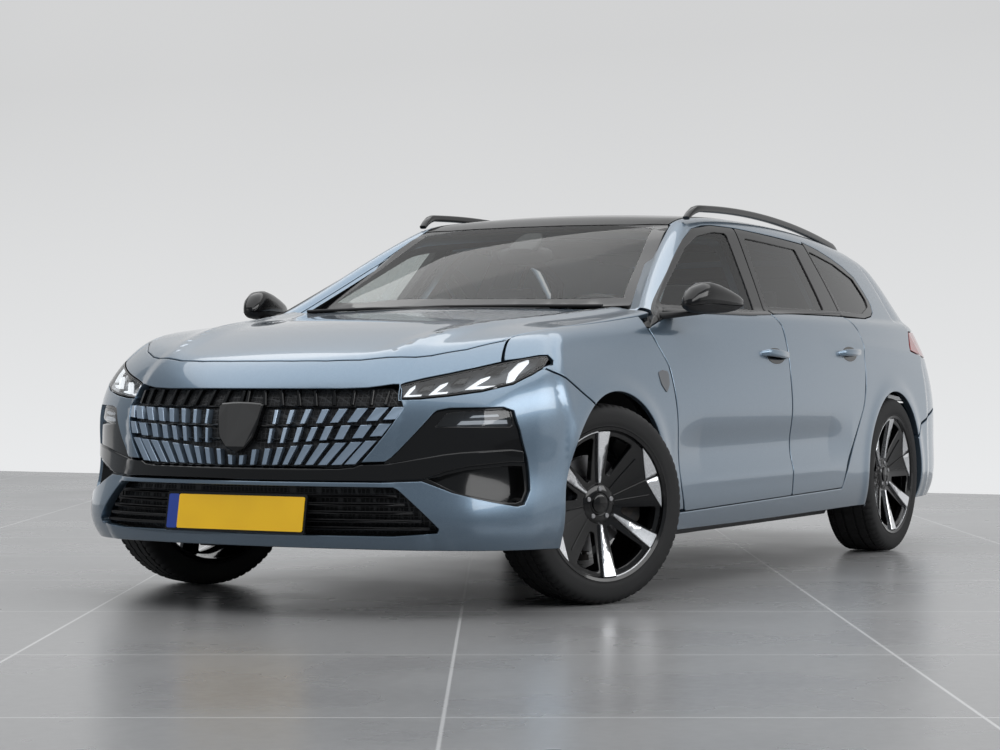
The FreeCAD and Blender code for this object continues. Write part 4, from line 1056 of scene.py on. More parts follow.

# %% [markdown]
# ## Body side, roof, screens
# One long pressing makes the rail over the doors, the rear quarter and the sill, as on a real car. Its lines fan
# out from an axis along the cabin. The pillar beside the windscreen is a bowed strip of its own. Behind the doors
# a second, deeper pressing makes the rebate.


# %% Body side
REAR_ARCH_RUN = arc(*REAR_ARCH, -18.6, 153, 44)
SURROUND_OUT = [(-1.180, 1.014), (-1.300, 1.026), (-1.352, 1.046), (-1.374, 1.080), (-1.350, 1.130),
                (-1.300, 1.198), (-1.200, 1.240), (-1.090, 1.272), (-0.940, 1.306), (-0.790, 1.330)]
door_tops = [(-0.790, 1.320), (-0.470, 1.338), (-0.147, 1.354), (0.030, 1.357), (0.120, 1.350), (0.216, 1.334),
             (0.262, 1.320)]
side_loop = traced(around_cabin, [
    (from_side, [(1.107, 0.284), (0.949, 0.284), (-0.070, 0.297), (-0.640, 0.303), (-0.690, 0.370), (-0.780, 0.485),
                 (-0.905, 0.640), (-0.938, 0.720), (-0.948, 0.792), (-0.955, 0.930), (-0.948, 0.960),
                 (-0.890, 1.004), (-0.880, 1.013)] + SURROUND_OUT + door_tops),
    (from_top, [(0.262, 0.545), (0.100, 0.560), (-0.300, 0.576), (-0.700, 0.585), (-1.100, 0.577), (-1.400, 0.560),
                (-1.610, 0.506)]),
    (from_rear, [(0.508, 1.314), (0.532, 1.262), (0.575, 1.150), (0.610, 1.060), (0.634, 1.000), (0.642, 0.970)]),
    (from_side, [(-2.140, 0.970), (-1.900, 0.969), (-1.760, 0.968), (-1.652, 0.878), (-1.760, 0.862), (-1.942, 0.848),
                 (-2.190, 0.838)]),
    (from_rear, [(0.640, 0.836), (0.624, 0.770), (0.585, 0.680), (0.560, 0.648)]),
    (from_side, [(-2.200, 0.640), (-2.060, 0.632), (-1.860, 0.590), (-1.700, 0.553), (-1.645, 0.500)]),
    (from_side, REAR_ARCH_RUN[::-1] + [(-0.985, 0.215), (0.300, 0.213), (1.120, 0.216)])])
REBATE = [(0.945, 0.290), (0.985, 0.600), (0.985, 0.800, 0.05), (0.955, 0.985, 0.02), (0.572, 1.184, 0.5),
          (0.365, 1.280, 0.3), (0.216, 1.334, 0.2), (0.050, 1.356, 0.2), (-0.147, 1.354), (-0.790, 1.318, 0.02),
          (-0.845, 1.036), (-0.957, 0.952, 0.03), (-0.946, 0.792, 0.06), (-0.905, 0.640, 0.2),
          (-0.690, 0.400, 0.06), (-0.640, 0.290, 0.02)]
FRONT_APERTURE = [(0.905, 0.340, 0.04), (0.950, 0.600), (0.940, 0.860, 0.06), (0.860, 0.990, 0.06), (0.560, 1.140),
                  (0.350, 1.240, 0.3), (0.210, 1.290, 0.2), (0.050, 1.312, 0.2), (-0.105, 1.310, 0.03),
                  (0.020, 1.010, 0.06), (-0.015, 0.900), (-0.025, 0.340, 0.04)]
REAR_APERTURE = [(-0.120, 0.340, 0.04), (-0.110, 0.900), (-0.045, 1.010, 0.06), (-0.180, 1.310, 0.03),
                 (-0.745, 1.275, 0.04), (-0.800, 1.050, 0.06), (-0.880, 0.900, 0.08), (-0.850, 0.740, 0.1),
                 (-0.640, 0.440, 0.06), (-0.600, 0.340, 0.04)]
PILLAR_IN = [(0.236, 0.548, 1.352), (0.275, 0.552, 1.343), (0.503, 0.602, 1.220), (0.700, 0.648, 1.110),
             (0.848, 0.686, 1.026), (0.890, 0.698, 0.998)]
PILLAR_OUT = [(0.213, 0.618, 1.330), (0.262, 0.626, 1.318), (0.365, 0.646, 1.278), (0.572, 0.693, 1.181),
              (0.760, 0.741, 1.090), (0.938, 0.792, 1.004), (0.960, 0.798, 0.992)]


def smooth_line(points, count):
    """A run of points along the smooth curve that fits a few given ones best."""
    points = np.array(points, float)
    reach = np.concatenate([[0], np.cumsum(np.linalg.norm(np.diff(points, axis=0), axis=1))])
    share = np.linspace(0, 1, count)
    return np.stack([np.polyval(np.polyfit(reach / reach[-1], c, 3), share) for c in points.T], axis=1)


def strip(name, inner, outer, side, bulge=0.012, thick=0.026, count=48, across=9, skin="paint"):
    """A bowed strip between two edge lines, as thick as a folded panel."""
    a, b = smooth_line(inner, count), smooth_line(outer, count)
    share = np.linspace(0, 1, across)[None, :, None]
    top = a[:, None] * (1 - share) + b[:, None] * share
    up = np.cross(np.gradient(top, axis=0), np.gradient(top, axis=1))
    up *= np.sign(up.sum()) / np.linalg.norm(up, axis=2, keepdims=True)
    top = top + up * bulge * 4 * share * (1 - share)
    under = top - up * thick
    k, n = np.arange(count * across).reshape(count, across), count * across
    quads = [(k[i, j], k[i, j + 1], k[i + 1, j + 1], k[i + 1, j]) for i in range(count - 1)
             for j in range(across - 1)]
    faces = quads + [tuple(n + v for v in reversed(q)) for q in quads]
    points = [top.reshape(-1, 3), under.reshape(-1, 3)]
    start = 2 * n
    rims = [k[:, 0], k[::-1, -1], k[0, ::-1], k[-1, :]]
    for ring in rims:
        points += [top.reshape(-1, 3)[ring], under.reshape(-1, 3)[ring]]
        m = len(ring)
        faces += [(start + i + 1, start + i, start + m + i, start + m + i + 1) for i in range(m - 1)]
        start += 2 * m
    points = np.concatenate(points)
    if side < 0:
        points = points * (1, -1, 1)
        faces = [tuple(reversed(f)) for f in faces]
    return turned_out(add_mesh(name, points, faces, materials[skin], smooth=True))


for side, tag in SIDES:
    panel(f"body_side_{tag}", around_cabin, side_loop, node=f"side_frame_{tag}", slot="body_paint", hem=0.030,
          side=side, spacing=0.015)
    fit(strip(f"front_pillar_{tag}", PILLAR_IN, PILLAR_OUT, side), "body", f"side_frame_{tag}", slot="body_paint")
    panel(f"door_rebate_{tag}", from_side, rounded(REBATE), [rounded(FRONT_APERTURE), rounded(REAR_APERTURE)],
          node=f"side_frame_{tag}", slot="body_paint", depth=0.066, thick=0.038, hem=0.010, spacing=0.03,
          gap=-0.004, side=side, step=0.004)
    panel(f"quarter_surround_{tag}", from_side, evenly(np.array([(-0.852, 1.020), (-0.880, 1.017)] + SURROUND_OUT
          + [(-0.797, 1.318)]), 0.012), [rounded(QUARTER_GLASS)], node=f"side_frame_{tag}",
          slot="trim_gloss_black", thick=0.030, spacing=0.02, skin="gloss_black", gap=0.0015, side=side, step=0.0)
    panel(f"quarter_pane_{tag}", from_side, rounded(QUARTER_GLASS), node="quarter_glass", slot="glass_dark",
          **PANE, skin="dark_glass", side=side)
print("side", tally["body_side_left"], tally["door_rebate_left"])

# %% Roof, windscreen
roof_half = [(0.330, 0.0), (0.322, 0.200), (0.300, 0.400), (0.262, 0.543), (0.100, 0.558), (-0.300, 0.574),
             (-0.700, 0.583), (-1.100, 0.575), (-1.400, 0.558), (-1.612, 0.504), (-1.612, 0.0)]
roof_loop = evenly(np.array(both_halves(roof_half)), 0.015)
panel("roof_skin", from_top, roof_loop, node="roof_panel", slot="roof_gloss_black", thick=0.030, hem=0.012,
      spacing=0.025, skin="gloss_black", back="headlining", step=0.0)
SCREEN = [(0.0, 1.020), (0.500, 1.016), (0.660, 1.020), (0.676, 1.034), (0.640, 1.120), (0.596, 1.228),
          (0.552, 1.338), (0.540, 1.352), (0.300, 1.376), (0.0, 1.382)]
screen_loop = traced(from_over, [(from_cabin_front, mirror_run(SCREEN))])
screen_in = shrunk(screen_loop, 0.055)
panel("windscreen_border", from_over, screen_loop, [screen_in], node="windscreen", slot="glass_clear",
      depth=0.004, gap=-0.001, hem=0.004, spacing=0.03, skin="gloss_black")
panel("windscreen_pane", from_over, screen_in, node="windscreen", slot="glass_clear", depth=0.004, gap=-0.001,
      hem=0.003, spacing=0.03, skin="glass")
print("roof", tally["roof_skin"], "screen", tally["windscreen_pane"])

# %% Tailgate
TAIL = [(0.0, 0.645), (0.300, 0.645), (0.520, 0.647), (0.575, 0.672), (0.612, 0.730), (0.626, 0.800), (0.638, 0.900),
        (0.636, 0.970), (0.604, 1.060), (0.570, 1.150), (0.532, 1.255), (0.506, 1.312)]
tail_loop = traced(over_back, [(from_rear, TAIL), (from_top, [(-1.628, 0.500), (-1.628, -0.500)]),
                               (from_rear, [(-y, z) for y, z in reversed(TAIL)])])
TAIL_GLASS = [(0.0, 1.020), (0.540, 1.024), (0.560, 1.040), (0.492, 1.225), (0.470, 1.240), (0.0, 1.262)]
glass_loop = traced(over_back, [(from_rear, mirror_run(TAIL_GLASS))])
panel("tailgate_skin", over_back, tail_loop, [glass_loop], on="tailgate", node="tailgate", slot="body_paint",
      thick=GATE_THICK, spacing=0.016)
inner_loop = shrunk(glass_loop, 0.035)
panel("tailgate_glass_border", over_back, glass_loop, [inner_loop], on="tailgate", node="tailgate_glass",
      slot="glass_dark", depth=0.005, gap=-0.002, hem=0.004, spacing=0.03, skin="gloss_black")
panel("tailgate_pane", over_back, inner_loop, on="tailgate", node="tailgate_glass", slot="glass_dark",
      depth=0.005, gap=-0.002, hem=0.003, spacing=0.03, skin="dark_glass")

# %% Rear bumper and lamps
back_turn = around_back.locate(from_side.onto(np.array([[-1.657, 0.217]])))[0, 0]
rear_half = traced(around_back, [
    (from_rear, [(0.0, 0.638), (0.540, 0.640), (0.560, 0.642)]),
    (from_side, [(-2.200, 0.634), (-2.060, 0.626), (-1.860, 0.584), (-1.702, 0.547), (-1.651, 0.494)]),
    (from_side, arc(*REAR_ARCH, 154, 198.8, 16)),
    (around_back, [(t, 0.217) for t in np.linspace(back_turn, 0.02, 40)[1:]])])
rear_loop = without_doubles(np.concatenate([rear_half, (rear_half * (-1, 1))[::-1]]))
panel("rear_bumper_skin", around_back, rear_loop, node="rear_bumper", slot="body_paint", hem=0.030)
LAMP_BAND_LOW = [(-1.665, 0.881), (-1.760, 0.865), (-1.942, 0.851), (-2.185, 0.841)]
LAMP_BAND_TOP = [(-2.135, 0.966), (-1.900, 0.965), (-1.763, 0.964)]
lamp_loop = traced(around_rear_corner, [(from_side, LAMP_BAND_LOW), (from_rear, [(0.643, 0.840), (0.643, 0.966)]),
                                        (from_side, LAMP_BAND_TOP)])
for side, tag in SIDES:
    panel(f"tail_lamp_{tag}", around_rear_corner, lamp_loop, node="tail_lamps", slot="lamp_red", hem=0.040,
          skin="lamp_red", side=side, gap=0.001)
print("tail", tally["tailgate_skin"], "rear bumper", tally["rear_bumper_skin"])

# %% [markdown]
# ## Front: grille, corner trims, lamps, intake, plate
# The grille is a dark tray with some fifty small slanted tiles that widen towards the ends. They could be
# modelled one by one, but every tile is a straight-sided quadrangle seen from the front, so a table of
# middles, widths and heights gives them all, thrown onto the nose's own surface by the same lines as its
# skin.


# %% Many small slabs in one mesh
def slabs(name, carrier, loops, depth, thick, material, bevel=0.0012, cut=0.0):
    """Thin slabs with small chamfers. Each loop is a closed path of a few dozen points in the carrier's drawing."""
    points, faces, first = [], [], 0
    for loop in loops:
        loop = np.array(loop, float)
        if area_of(loop) < 0:
            loop = loop[::-1]
        n = len(loop)
        inner = shrunk(loop, bevel + cut)
        outer = shrunk(loop, cut) if cut else loop
        points += [carrier.onto(inner, depth), carrier.onto(outer, depth + bevel), carrier.onto(outer, depth + thick)]
        faces.append(list(range(first, first + n)))
        for ring in (0, 1):
            a = first + ring * n
            faces += [[a + n + k, a + n + (k + 1) % n, a + (k + 1) % n, a + k] for k in range(n)]
        first += 3 * n
    points = np.concatenate(points)
    up = outward(points[:1])[0]
    a, b, c = points[faces[0][0]], points[faces[0][1]], points[faces[0][2]]
    if np.dot(np.cross(b - a, c - a), up) < 0:
        faces = [f[::-1] for f in faces]
    return add_mesh(name, points, faces, materials[material])


def seen_front(points):
    """Front-view points as a path in the nose's own drawing, corners only."""
    return around_nose.locate(from_front.onto(np.array(points, float)))


def both_sides(loops):
    """The loops of one side and their mirror images."""
    return list(loops) + [[(-p[0], p[1]) for p in reversed(loop)] for loop in loops]


# %% Grille: tray, tiles, dark bars, blank shield
# columns: y and z at the tile's top, y and z at its foot, width at the top, width at the foot
TILES = [
    (0.111, 0.653, 0.108, 0.609, 0.010, 0.008), (0.158, 0.653, 0.150, 0.610, 0.013, 0.011),
    (0.206, 0.655, 0.192, 0.611, 0.017, 0.014), (0.257, 0.655, 0.241, 0.613, 0.021, 0.018),
    (0.311, 0.657, 0.286, 0.615, 0.027, 0.023), (0.371, 0.659, 0.340, 0.617, 0.034, 0.029),
    (0.435, 0.661, 0.401, 0.621, 0.042, 0.036), (0.493, 0.663, 0.459, 0.625, 0.040, 0.042),
    (0.102, 0.594, 0.098, 0.549, 0.009, 0.008), (0.144, 0.597, 0.135, 0.550, 0.012, 0.010),
    (0.186, 0.598, 0.175, 0.553, 0.015, 0.013), (0.229, 0.599, 0.213, 0.556, 0.018, 0.016),
    (0.272, 0.602, 0.255, 0.560, 0.022, 0.020), (0.322, 0.605, 0.302, 0.563, 0.028, 0.025),
    (0.385, 0.607, 0.358, 0.567, 0.036, 0.032), (0.446, 0.611, 0.415, 0.573, 0.040, 0.038),
    (0.018, 0.509, 0.016, 0.480, 0.013, 0.011), (0.056, 0.528, 0.050, 0.480, 0.013, 0.011),
    (0.095, 0.531, 0.086, 0.481, 0.015, 0.013), (0.132, 0.535, 0.117, 0.481, 0.017, 0.014),
    (0.172, 0.540, 0.147, 0.482, 0.019, 0.015), (0.213, 0.544, 0.182, 0.482, 0.024, 0.018),
    (0.260, 0.549, 0.217, 0.482, 0.028, 0.022), (0.308, 0.551, 0.255, 0.482, 0.032, 0.026),
    (0.356, 0.554, 0.296, 0.483, 0.035, 0.030), (0.401, 0.558, 0.336, 0.485, 0.036, 0.032),
]
tiles = [[(yt - wt / 2, zt), (yt + wt / 2, zt + 0.001), (yb + wb / 2, zb), (yb - wb / 2, zb - 0.001)]
         for yt, zt, yb, zb, wt, wb in TILES]
tile_mesh = slabs("grille_tiles", around_nose, [seen_front(t) for t in both_sides(tiles)], 0.004, 0.022, "tile")
fit(tile_mesh, "body", "grille", slot="trim_gloss_black")
tray_loop = traced(around_nose, [(from_front, mirror_run([
    (0.0, 0.472), (0.300, 0.472), (0.350, 0.478), (0.366, 0.486), (0.444, 0.578), (0.512, 0.660), (0.514, 0.676),
    (0.494, 0.712), (0.470, 0.722), (0.3, 0.722), (0.0, 0.724)]))])
panel("grille_tray", around_nose, tray_loop, node="grille", slot="plastic_black", depth=0.026, gap=0.0, hem=0.010,
      spacing=0.03, skin="mesh_black", rim="plastic")
# slanted bars of the upper band, and the thin rails that tie the rows together
BAND_BARS = [(0.008, 0.716, 0.010, 0.668), (0.059, 0.716, 0.068, 0.668), (0.111, 0.716, 0.122, 0.668),
             (0.163, 0.716, 0.175, 0.667), (0.216, 0.716, 0.224, 0.667), (0.277, 0.717, 0.279, 0.669),
             (0.340, 0.717, 0.335, 0.670), (0.402, 0.717, 0.395, 0.670), (0.459, 0.716, 0.445, 0.671)]
bars = [[(yt - 0.0045, zt), (yt + 0.0045, zt), (yb + 0.006, zb), (yb - 0.006, zb)] for yt, zt, yb, zb in BAND_BARS]
bar_mesh = slabs("grille_band_bars", around_nose, [seen_front(t) for t in both_sides(bars)], 0.010, 0.018,
                 "gloss_black", bevel=0.002)
fit(bar_mesh, "body", "grille", slot="trim_gloss_black")
RAILS = [(0.664, 0.0, 0.510), (0.603, 0.0, 0.450), (0.560, 0.0, 0.415), (0.4745, 0.0, 0.345)]
rails = []
for z, y0, y1 in RAILS:
    across = np.linspace(-y1, y1, 40)
    rails.append([(y, z + 0.002) for y in across] + [(y, z - 0.002) for y in across[::-1]])
rail_mesh = slabs("grille_rails", around_nose, [seen_front(t) for t in rails], 0.013, 0.014, "gloss_black",
                  bevel=0.001)
fit(rail_mesh, "body", "grille", slot="trim_gloss_black")
SHIELD = [(0.0, 0.5160), (0.030, 0.534), (0.052, 0.566), (0.062, 0.604), (0.068, 0.650), (0.070, 0.668),
          (0.062, 0.674), (0.030, 0.677), (0.0, 0.678)]
shield_loop = seen_front(evenly(np.array(mirror_run(SHIELD)), 0.012))
shield = slabs("shield_blank", around_nose, [shield_loop], -0.004, 0.030, "gloss_black", bevel=0.004)
fit(shield, "body", "grille", slot="trim_gloss_black")
print("grille", tally["grille_tiles"], tally["grille_tray"], tally["grille_band_bars"])

# %% Dark band under the grille, corner trims with their blades
BLADE = [(0.0, 0.432), (0.435, 0.432), (0.569, 0.437), (0.640, 0.455), (0.720, 0.476), (0.814, 0.488), (0.840, 0.486),
         (0.838, 0.526), (0.814, 0.531), (0.700, 0.522), (0.560, 0.503), (0.450, 0.487), (0.366, 0.484),
         (0.345, 0.475), (0.300, 0.471), (0.0, 0.471)]
blade_loop = traced(around_nose, [(from_front, mirror_run(BLADE))])
panel("front_blade", around_nose, blade_loop, node="corner_trims", slot="trim_gloss_black", depth=0.004, gap=0.0,
      edge=0.006, hem=0.022, spacing=0.02, skin="gloss_black")
CORNER = [(0.440, 0.428), (0.442, 0.494), (0.470, 0.512), (0.560, 0.596), (0.624, 0.656), (0.655, 0.664),
          (0.792, 0.665), (0.816, 0.655), (0.832, 0.592), (0.846, 0.500), (0.856, 0.400), (0.851, 0.354),
          (0.838, 0.347), (0.700, 0.389), (0.569, 0.430)]
ELEMENT = [(0.628, 0.602), (0.655, 0.642), (0.672, 0.648), (0.795, 0.654), (0.806, 0.650), (0.816, 0.608),
           (0.810, 0.601)]
POCKET = [(0.590, 0.440), (0.640, 0.446), (0.720, 0.466), (0.812, 0.478), (0.836, 0.476), (0.846, 0.400),
          (0.842, 0.368), (0.832, 0.362), (0.812, 0.364), (0.700, 0.396)]
corner_loop, element_loop, pocket_loop = [traced(around_nose, [(from_front, p)]) for p in (CORNER, ELEMENT, POCKET)]
for side, tag in SIDES:
    panel(f"corner_trim_{tag}", around_nose, corner_loop, [element_loop, pocket_loop], node="corner_trims",
          slot="trim_gloss_black", depth=0.012, gap=0.0, hem=0.055, spacing=0.02, skin="gloss_black", side=side)
    panel(f"corner_pocket_{tag}", around_nose, pocket_loop, node="corner_trims", slot="plastic_black",
          depth=0.062, gap=-0.004, hem=0.006, spacing=0.02, skin="gloss_black", side=side)
    panel(f"corner_lamp_dish_{tag}", around_nose, element_loop, node="corner_trims", slot="lamp_clear",
          depth=0.040, gap=-0.003, hem=0.006, spacing=0.02, skin="lamp_grey", side=side)
    panel(f"corner_lamp_cover_{tag}", around_nose, element_loop, node="corner_trims", slot="glass_dark",
          depth=0.013, gap=-0.001, hem=0.003, spacing=0.02, skin="smoke", side=side)
    reflector = slabs(f"corner_lamp_bar_{tag}", around_nose,
                      [seen_front([(0.690, 0.607), (0.700, 0.619), (0.806, 0.622), (0.808, 0.610)]),
                       seen_front([(0.720, 0.629), (0.728, 0.636), (0.786, 0.640), (0.788, 0.633)])],
                      0.022, 0.010, "strokes")
    if side < 0:
        mirrored(reflector)
    fit(reflector, "body", "corner_trims", slot="lamp_clear")
print("corner", tally["corner_trim_left"])

# %% Headlamps: dark housing, three hooks and one broad stroke of light, clear cover, black brow
LAMP_OUT = [(0.497, 0.690), (0.500, 0.731), (0.560, 0.749), (0.628, 0.766), (0.690, 0.784), (0.741, 0.800),
            (0.816, 0.824), (0.828, 0.825), (0.836, 0.814), (0.840, 0.790), (0.828, 0.768), (0.797, 0.737),
            (0.729, 0.714), (0.649, 0.700), (0.570, 0.691)]
STROKES = [
    [(0.546, 0.731), (0.533, 0.720), (0.507, 0.693), (0.572, 0.697), (0.574, 0.702), (0.527, 0.700), (0.548, 0.722)],
    [(0.636, 0.740), (0.618, 0.732), (0.594, 0.700), (0.642, 0.705), (0.645, 0.711), (0.612, 0.708), (0.634, 0.731)],
    [(0.741, 0.759), (0.722, 0.751), (0.690, 0.717), (0.766, 0.723), (0.770, 0.731), (0.712, 0.727), (0.738, 0.750)],
    [(0.808, 0.812), (0.794, 0.801), (0.784, 0.770), (0.788, 0.738), (0.800, 0.740), (0.804, 0.765), (0.812, 0.802)],
]
lamp_loop_front = traced(around_nose, [(from_front, LAMP_OUT)], 0.010)
for side, tag in SIDES:
    panel(f"headlamp_housing_{tag}", around_nose, lamp_loop_front, node="headlamps", slot="lamp_clear",
          depth=0.042, gap=0.004, hem=0.012, spacing=0.02, skin="lamp_grey", rim="plastic", side=side)
    panel(f"headlamp_frame_{tag}", around_nose, lamp_loop_front, [shrunk(lamp_loop_front, 0.0045)],
          node="headlamps", slot="trim_gloss_black", depth=0.0015, gap=0.0, edge=0.001, hem=0.046, spacing=0.02,
          skin="gloss_black", side=side)
    marks = slabs(f"headlamp_strokes_{tag}", around_nose, [seen_front(s) for s in STROKES], 0.016, 0.014, "strokes")
    boxes = slabs(f"headlamp_units_{tag}", around_nose, [seen_front([(y - 0.020, z - 0.012),
                  (y + 0.016, z - 0.010), (y + 0.026, z + 0.014), (y - 0.006, z + 0.010)]) for y,
                  z in ((0.578, 0.722), (0.668, 0.744), (0.748, 0.776))], 0.026, 0.014, "gloss_black",
                  bevel=0.004)
    if side < 0:
        mirrored(marks)
        mirrored(boxes)
    fit(marks, "body", "headlamps", slot="lamp_clear")
    fit(boxes, "body", "headlamps", slot="trim_gloss_black")
    panel(f"headlamp_cover_{tag}", around_nose, shrunk(lamp_loop_front, 0.004), node="headlamps",
          slot="lamp_clear", depth=0.001, gap=0.0, hem=0.003, spacing=0.02, skin="lens", side=side)
print("lamp", tally["headlamp_cover_left"])

# %% Lower intake: dark floor, five bars, blank plate on its holder
panel("intake_floor", around_nose, intake_hole, node="front_bumper", slot="plastic_black", depth=0.050,
      gap=-0.006, hem=0.006, spacing=0.03, skin="mesh_black")
blades = []
for z, reach in ((0.385, 0.484), (0.359, 0.512), (0.333, 0.540), (0.307, 0.570), (0.283, 0.600)):
    across = np.linspace(-reach, reach, 50)
    blades.append([(y, z + 0.0055) for y in across] + [(y, z - 0.0045) for y in across[::-1]])
intake_bars = slabs("intake_bars", around_nose, [seen_front(b) for b in blades], 0.018, 0.022, "plastic", bevel=0.002)
fit(intake_bars, "body", "front_bumper", slot="plastic_black")


PLATE_W, PLATE_H, PLATE_END = 0.520, 0.110, 0.040        # width, height, width of the blue end


def plate_on(name, middle, normal):
    """A blank plate with rounded corners on the nose: yellow sheet, blue end, black tray behind."""
    out = Vector(normal).normalized()
    across = Vector((0, 0, 1)).cross(out).normalized()
    up = out.cross(across)
    centre = Vector(middle)

    def board(tag, w0, w1, h, near, far, look, radius):
        shape = rounded([(w0, -h, radius), (w1, -h, radius), (w1, h, radius), (w0, h, radius)], 0.004)
        n = len(shape)
        points = [centre + across * u + up * v + out * near for u, v in shape]
        points += [centre + across * u + up * v + out * far for u, v in shape]
        faces = [list(range(n)), list(range(2 * n - 1, n - 1, -1))]
        faces += [[n + k, n + (k + 1) % n, (k + 1) % n, k] for k in range(n)]
        fit(add_mesh(f"{name}_{tag}", points, faces, materials[look]), "body", "front_bumper")

    # seen from outside, the blue end is on the reader's left, which is -across
    half = PLATE_W / 2
    board("sheet", -half + PLATE_END, half, PLATE_H / 2, 0.003, 0.0005, "plate_yellow", 0.006)
    board("end", -half, -half + 0.0398, PLATE_H / 2, 0.003, 0.0005, "plate_blue", 0.006)
    board("tray", -half - 0.008, half + 0.008, PLATE_H / 2 + 0.008, 0.0, -0.010, "gloss_black", 0.008)


plate_on("front_plate", (2.392, 0.0, 0.327), (0.985, 0.0, 0.17))
print("plate done")

# %% [markdown]
# ## Wheels
# A rim is drawn once, flat, as seen from its outer side: a dished black web with six windows, four machined
# wedges that stand proud of it, two machined bows that follow the edge, a turned barrel, five bolts and a
# plain cap. A height that grows with the radius dishes every piece alike. The same meshes are then set into
# all four wheels, so that the rim looks the same from either side of the car.


# %% Flat outlines in polar terms, and a dished plate over them
def polar(angle, radius):
    """A point by its angle in degrees and its distance from the hub."""
    return (radius * math.cos(math.radians(angle)), radius * math.sin(math.radians(angle)))


def sweep_arc(radius, start, stop, count):
    return [polar(a, radius) for a in np.linspace(start, stop, count)]


def dish(r, low=0.052, high=0.090):
    """Height of the rim's face over the wheel's middle plane."""
    return low + (high - low) * np.clip((r - 0.045) / 0.195, 0, 1) ** 1.3


def dished_plate(outline, holes=(), raised=0.0, thick=0.012, bevel=0.002, spacing=0.012):
    """Points (x, y, z) and faces of a plate over flat outlines; y is the dished height, the rim is bevelled."""
    loops = [evenly(np.array(outline, float), spacing)] + [evenly(np.array(h, float), spacing) for h in holes]
    loops = [l if (area_of(l) > 0) == (i == 0) else l[::-1] for i, l in enumerate(loops)]
    insets = [shrunk(loops[0], bevel)] + [shrunk(h[::-1], -bevel)[::-1] for h in loops[1:]]
    spots, faces = filled(insets, spacing)

    def lift(flat, drop):
        return np.stack([flat[:, 0], dish(np.hypot(*flat.T)) + raised - drop, flat[:, 1]], axis=1)

    points, out, base, first = [lift(spots, 0.0)], [tuple(f[::-1]) for f in faces], len(spots), 0
    for loop in loops:
        n = len(loop)
        points += [lift(loop, bevel), lift(loop, bevel), lift(loop, thick)]
        for k in range(n):
            m = (k + 1) % n
            out.append((base + k, base + m, first + m, first + k))
            out.append((base + 2 * n + k, base + 2 * n + m, base + n + m, base + n + k))
        base, first = base + 3 * n, first + n
    return np.concatenate(points), out


def lathe(profile, count=96, notch=None):
    """Surface of revolution about y from (radius, y) points; notch(radius, y, step) may change a radius."""
    points, faces, n = [], [], len(profile)
    for step in range(count):
        angle = 2 * math.pi * step / count
        for r, y in profile:
            r = notch(r, y, step) if notch else r
            points.append((r * math.cos(angle), y, r * math.sin(angle)))
    for step in range(count):
        ahead = (step + 1) % count
        faces += [(step * n + i, step * n + i + 1, ahead * n + i + 1, ahead * n + i) for i in range(n - 1)]
    return np.array(points), faces


def gathered(*shapes):
    """Several point and face lists as one."""
    points, faces, base = [], [], 0
    for some, their in shapes:
        points.append(some)
        faces += [tuple(base + v for v in f) for f in their]
        base += len(some)
    return np.concatenate(points), faces


# %% The rim's pieces
WEDGES = (93, 147, 273, 327)
WINDOWS = [(102, 138, 0.086), (282, 318, 0.086), (58, 84, 0.100), (238, 264, 0.100), (155, 176, 0.100),
           (335, 356, 0.100)]
EDGE_R = 0.243


def window(start, stop, root):
    """A window through the web: narrow at the hub, its outer side round with the barrel."""
    middle, reach = (start + stop) / 2, 0.226
    return rounded([polar(middle - 5, root) + (0.006,), polar(middle + 5, root) + (0.006,)]
                   + [polar(a, reach) + ((0.012,) if a in (start, stop) else ()) for a in
                      np.linspace(stop, start, 7)], 0.008)


def wedge(angle):
    return [polar(angle - 3.5, 0.070), polar(angle + 3.5, 0.070)] + sweep_arc(EDGE_R, angle + 6.3, angle - 6.3, 5)


def bow(start, stop, near):
    """Half of a machined bow: a piece of the disc's edge cut off by a straight line."""
    return sweep_arc(EDGE_R, start, stop, 9) + [polar(near, 0.198)]


web = dished_plate(sweep_arc(0.2455, 0, 360, 97)[:-1], [window(*w) for w in WINDOWS], thick=0.022)
machined = [dished_plate(wedge(a), raised=0.011, thick=0.016) for a in WEDGES]
for turn in (0, 180):
    machined.append(dished_plate(bow(-4 + turn, 21.2 + turn, 21.2 + turn), raised=0.0045, thick=0.008, bevel=0.001))
    machined.append(dished_plate(bow(22.8 + turn, 49 + turn, 22.8 + turn), raised=0.0045, thick=0.008, bevel=0.001))
    # the bare edge of the barrel between two wedges
    lip_out, lip_in = sweep_arc(0.2485, 99 + turn, 141 + turn, 16), sweep_arc(0.2425, 141 + turn, 99 + turn, 16)
    machined.append(dished_plate(lip_out + lip_in, raised=0.010, thick=0.012, bevel=0.0008, spacing=0.02))
ribs = [dished_plate([polar(a - 1.6, 0.066), polar(a + 1.6, 0.066), polar(a + 0.45, 0.200), polar(a - 0.45, 0.200)],
                     raised=0.004, thick=0.006, bevel=0.0015) for a in (22, 47, 202, 227, 187, 7)]
barrel = lathe([(0.2505, -0.1015), (0.238, -0.100), (0.2365, -0.080), (0.226, -0.040), (0.2365, 0.030),
                (0.2395, 0.088), (0.2465, 0.1005), (0.2570, 0.1045), (0.2580, 0.1030), (0.2520, 0.1000),
                (0.2500, -0.0950)])
hub = lathe([(0.0, 0.0), (0.060, 0.0), (0.072, 0.030), (0.070, 0.052), (0.062, 0.0585), (0.040, 0.0605),
             (0.036, 0.058), (0.031, 0.0585), (0.030, 0.0640), (0.026, 0.0655), (0.0, 0.0660)], 48)
bolts = []
for k in range(5):
    spots, faces = lathe([(0.0085, 0.050), (0.0085, 0.0625), (0.0070, 0.0640), (0.0, 0.0640)], 12)
    x, z = polar(90 + 72 * k, 0.050)
    bolts.append((spots + (x, 0, z), faces))
disc = lathe([(0.075, -0.017), (0.160, -0.017), (0.160, -0.008), (0.150, -0.006), (0.160, -0.004), (0.160, 0.005),
              (0.085, 0.005), (0.082, 0.030), (0.050, 0.032)], 72)

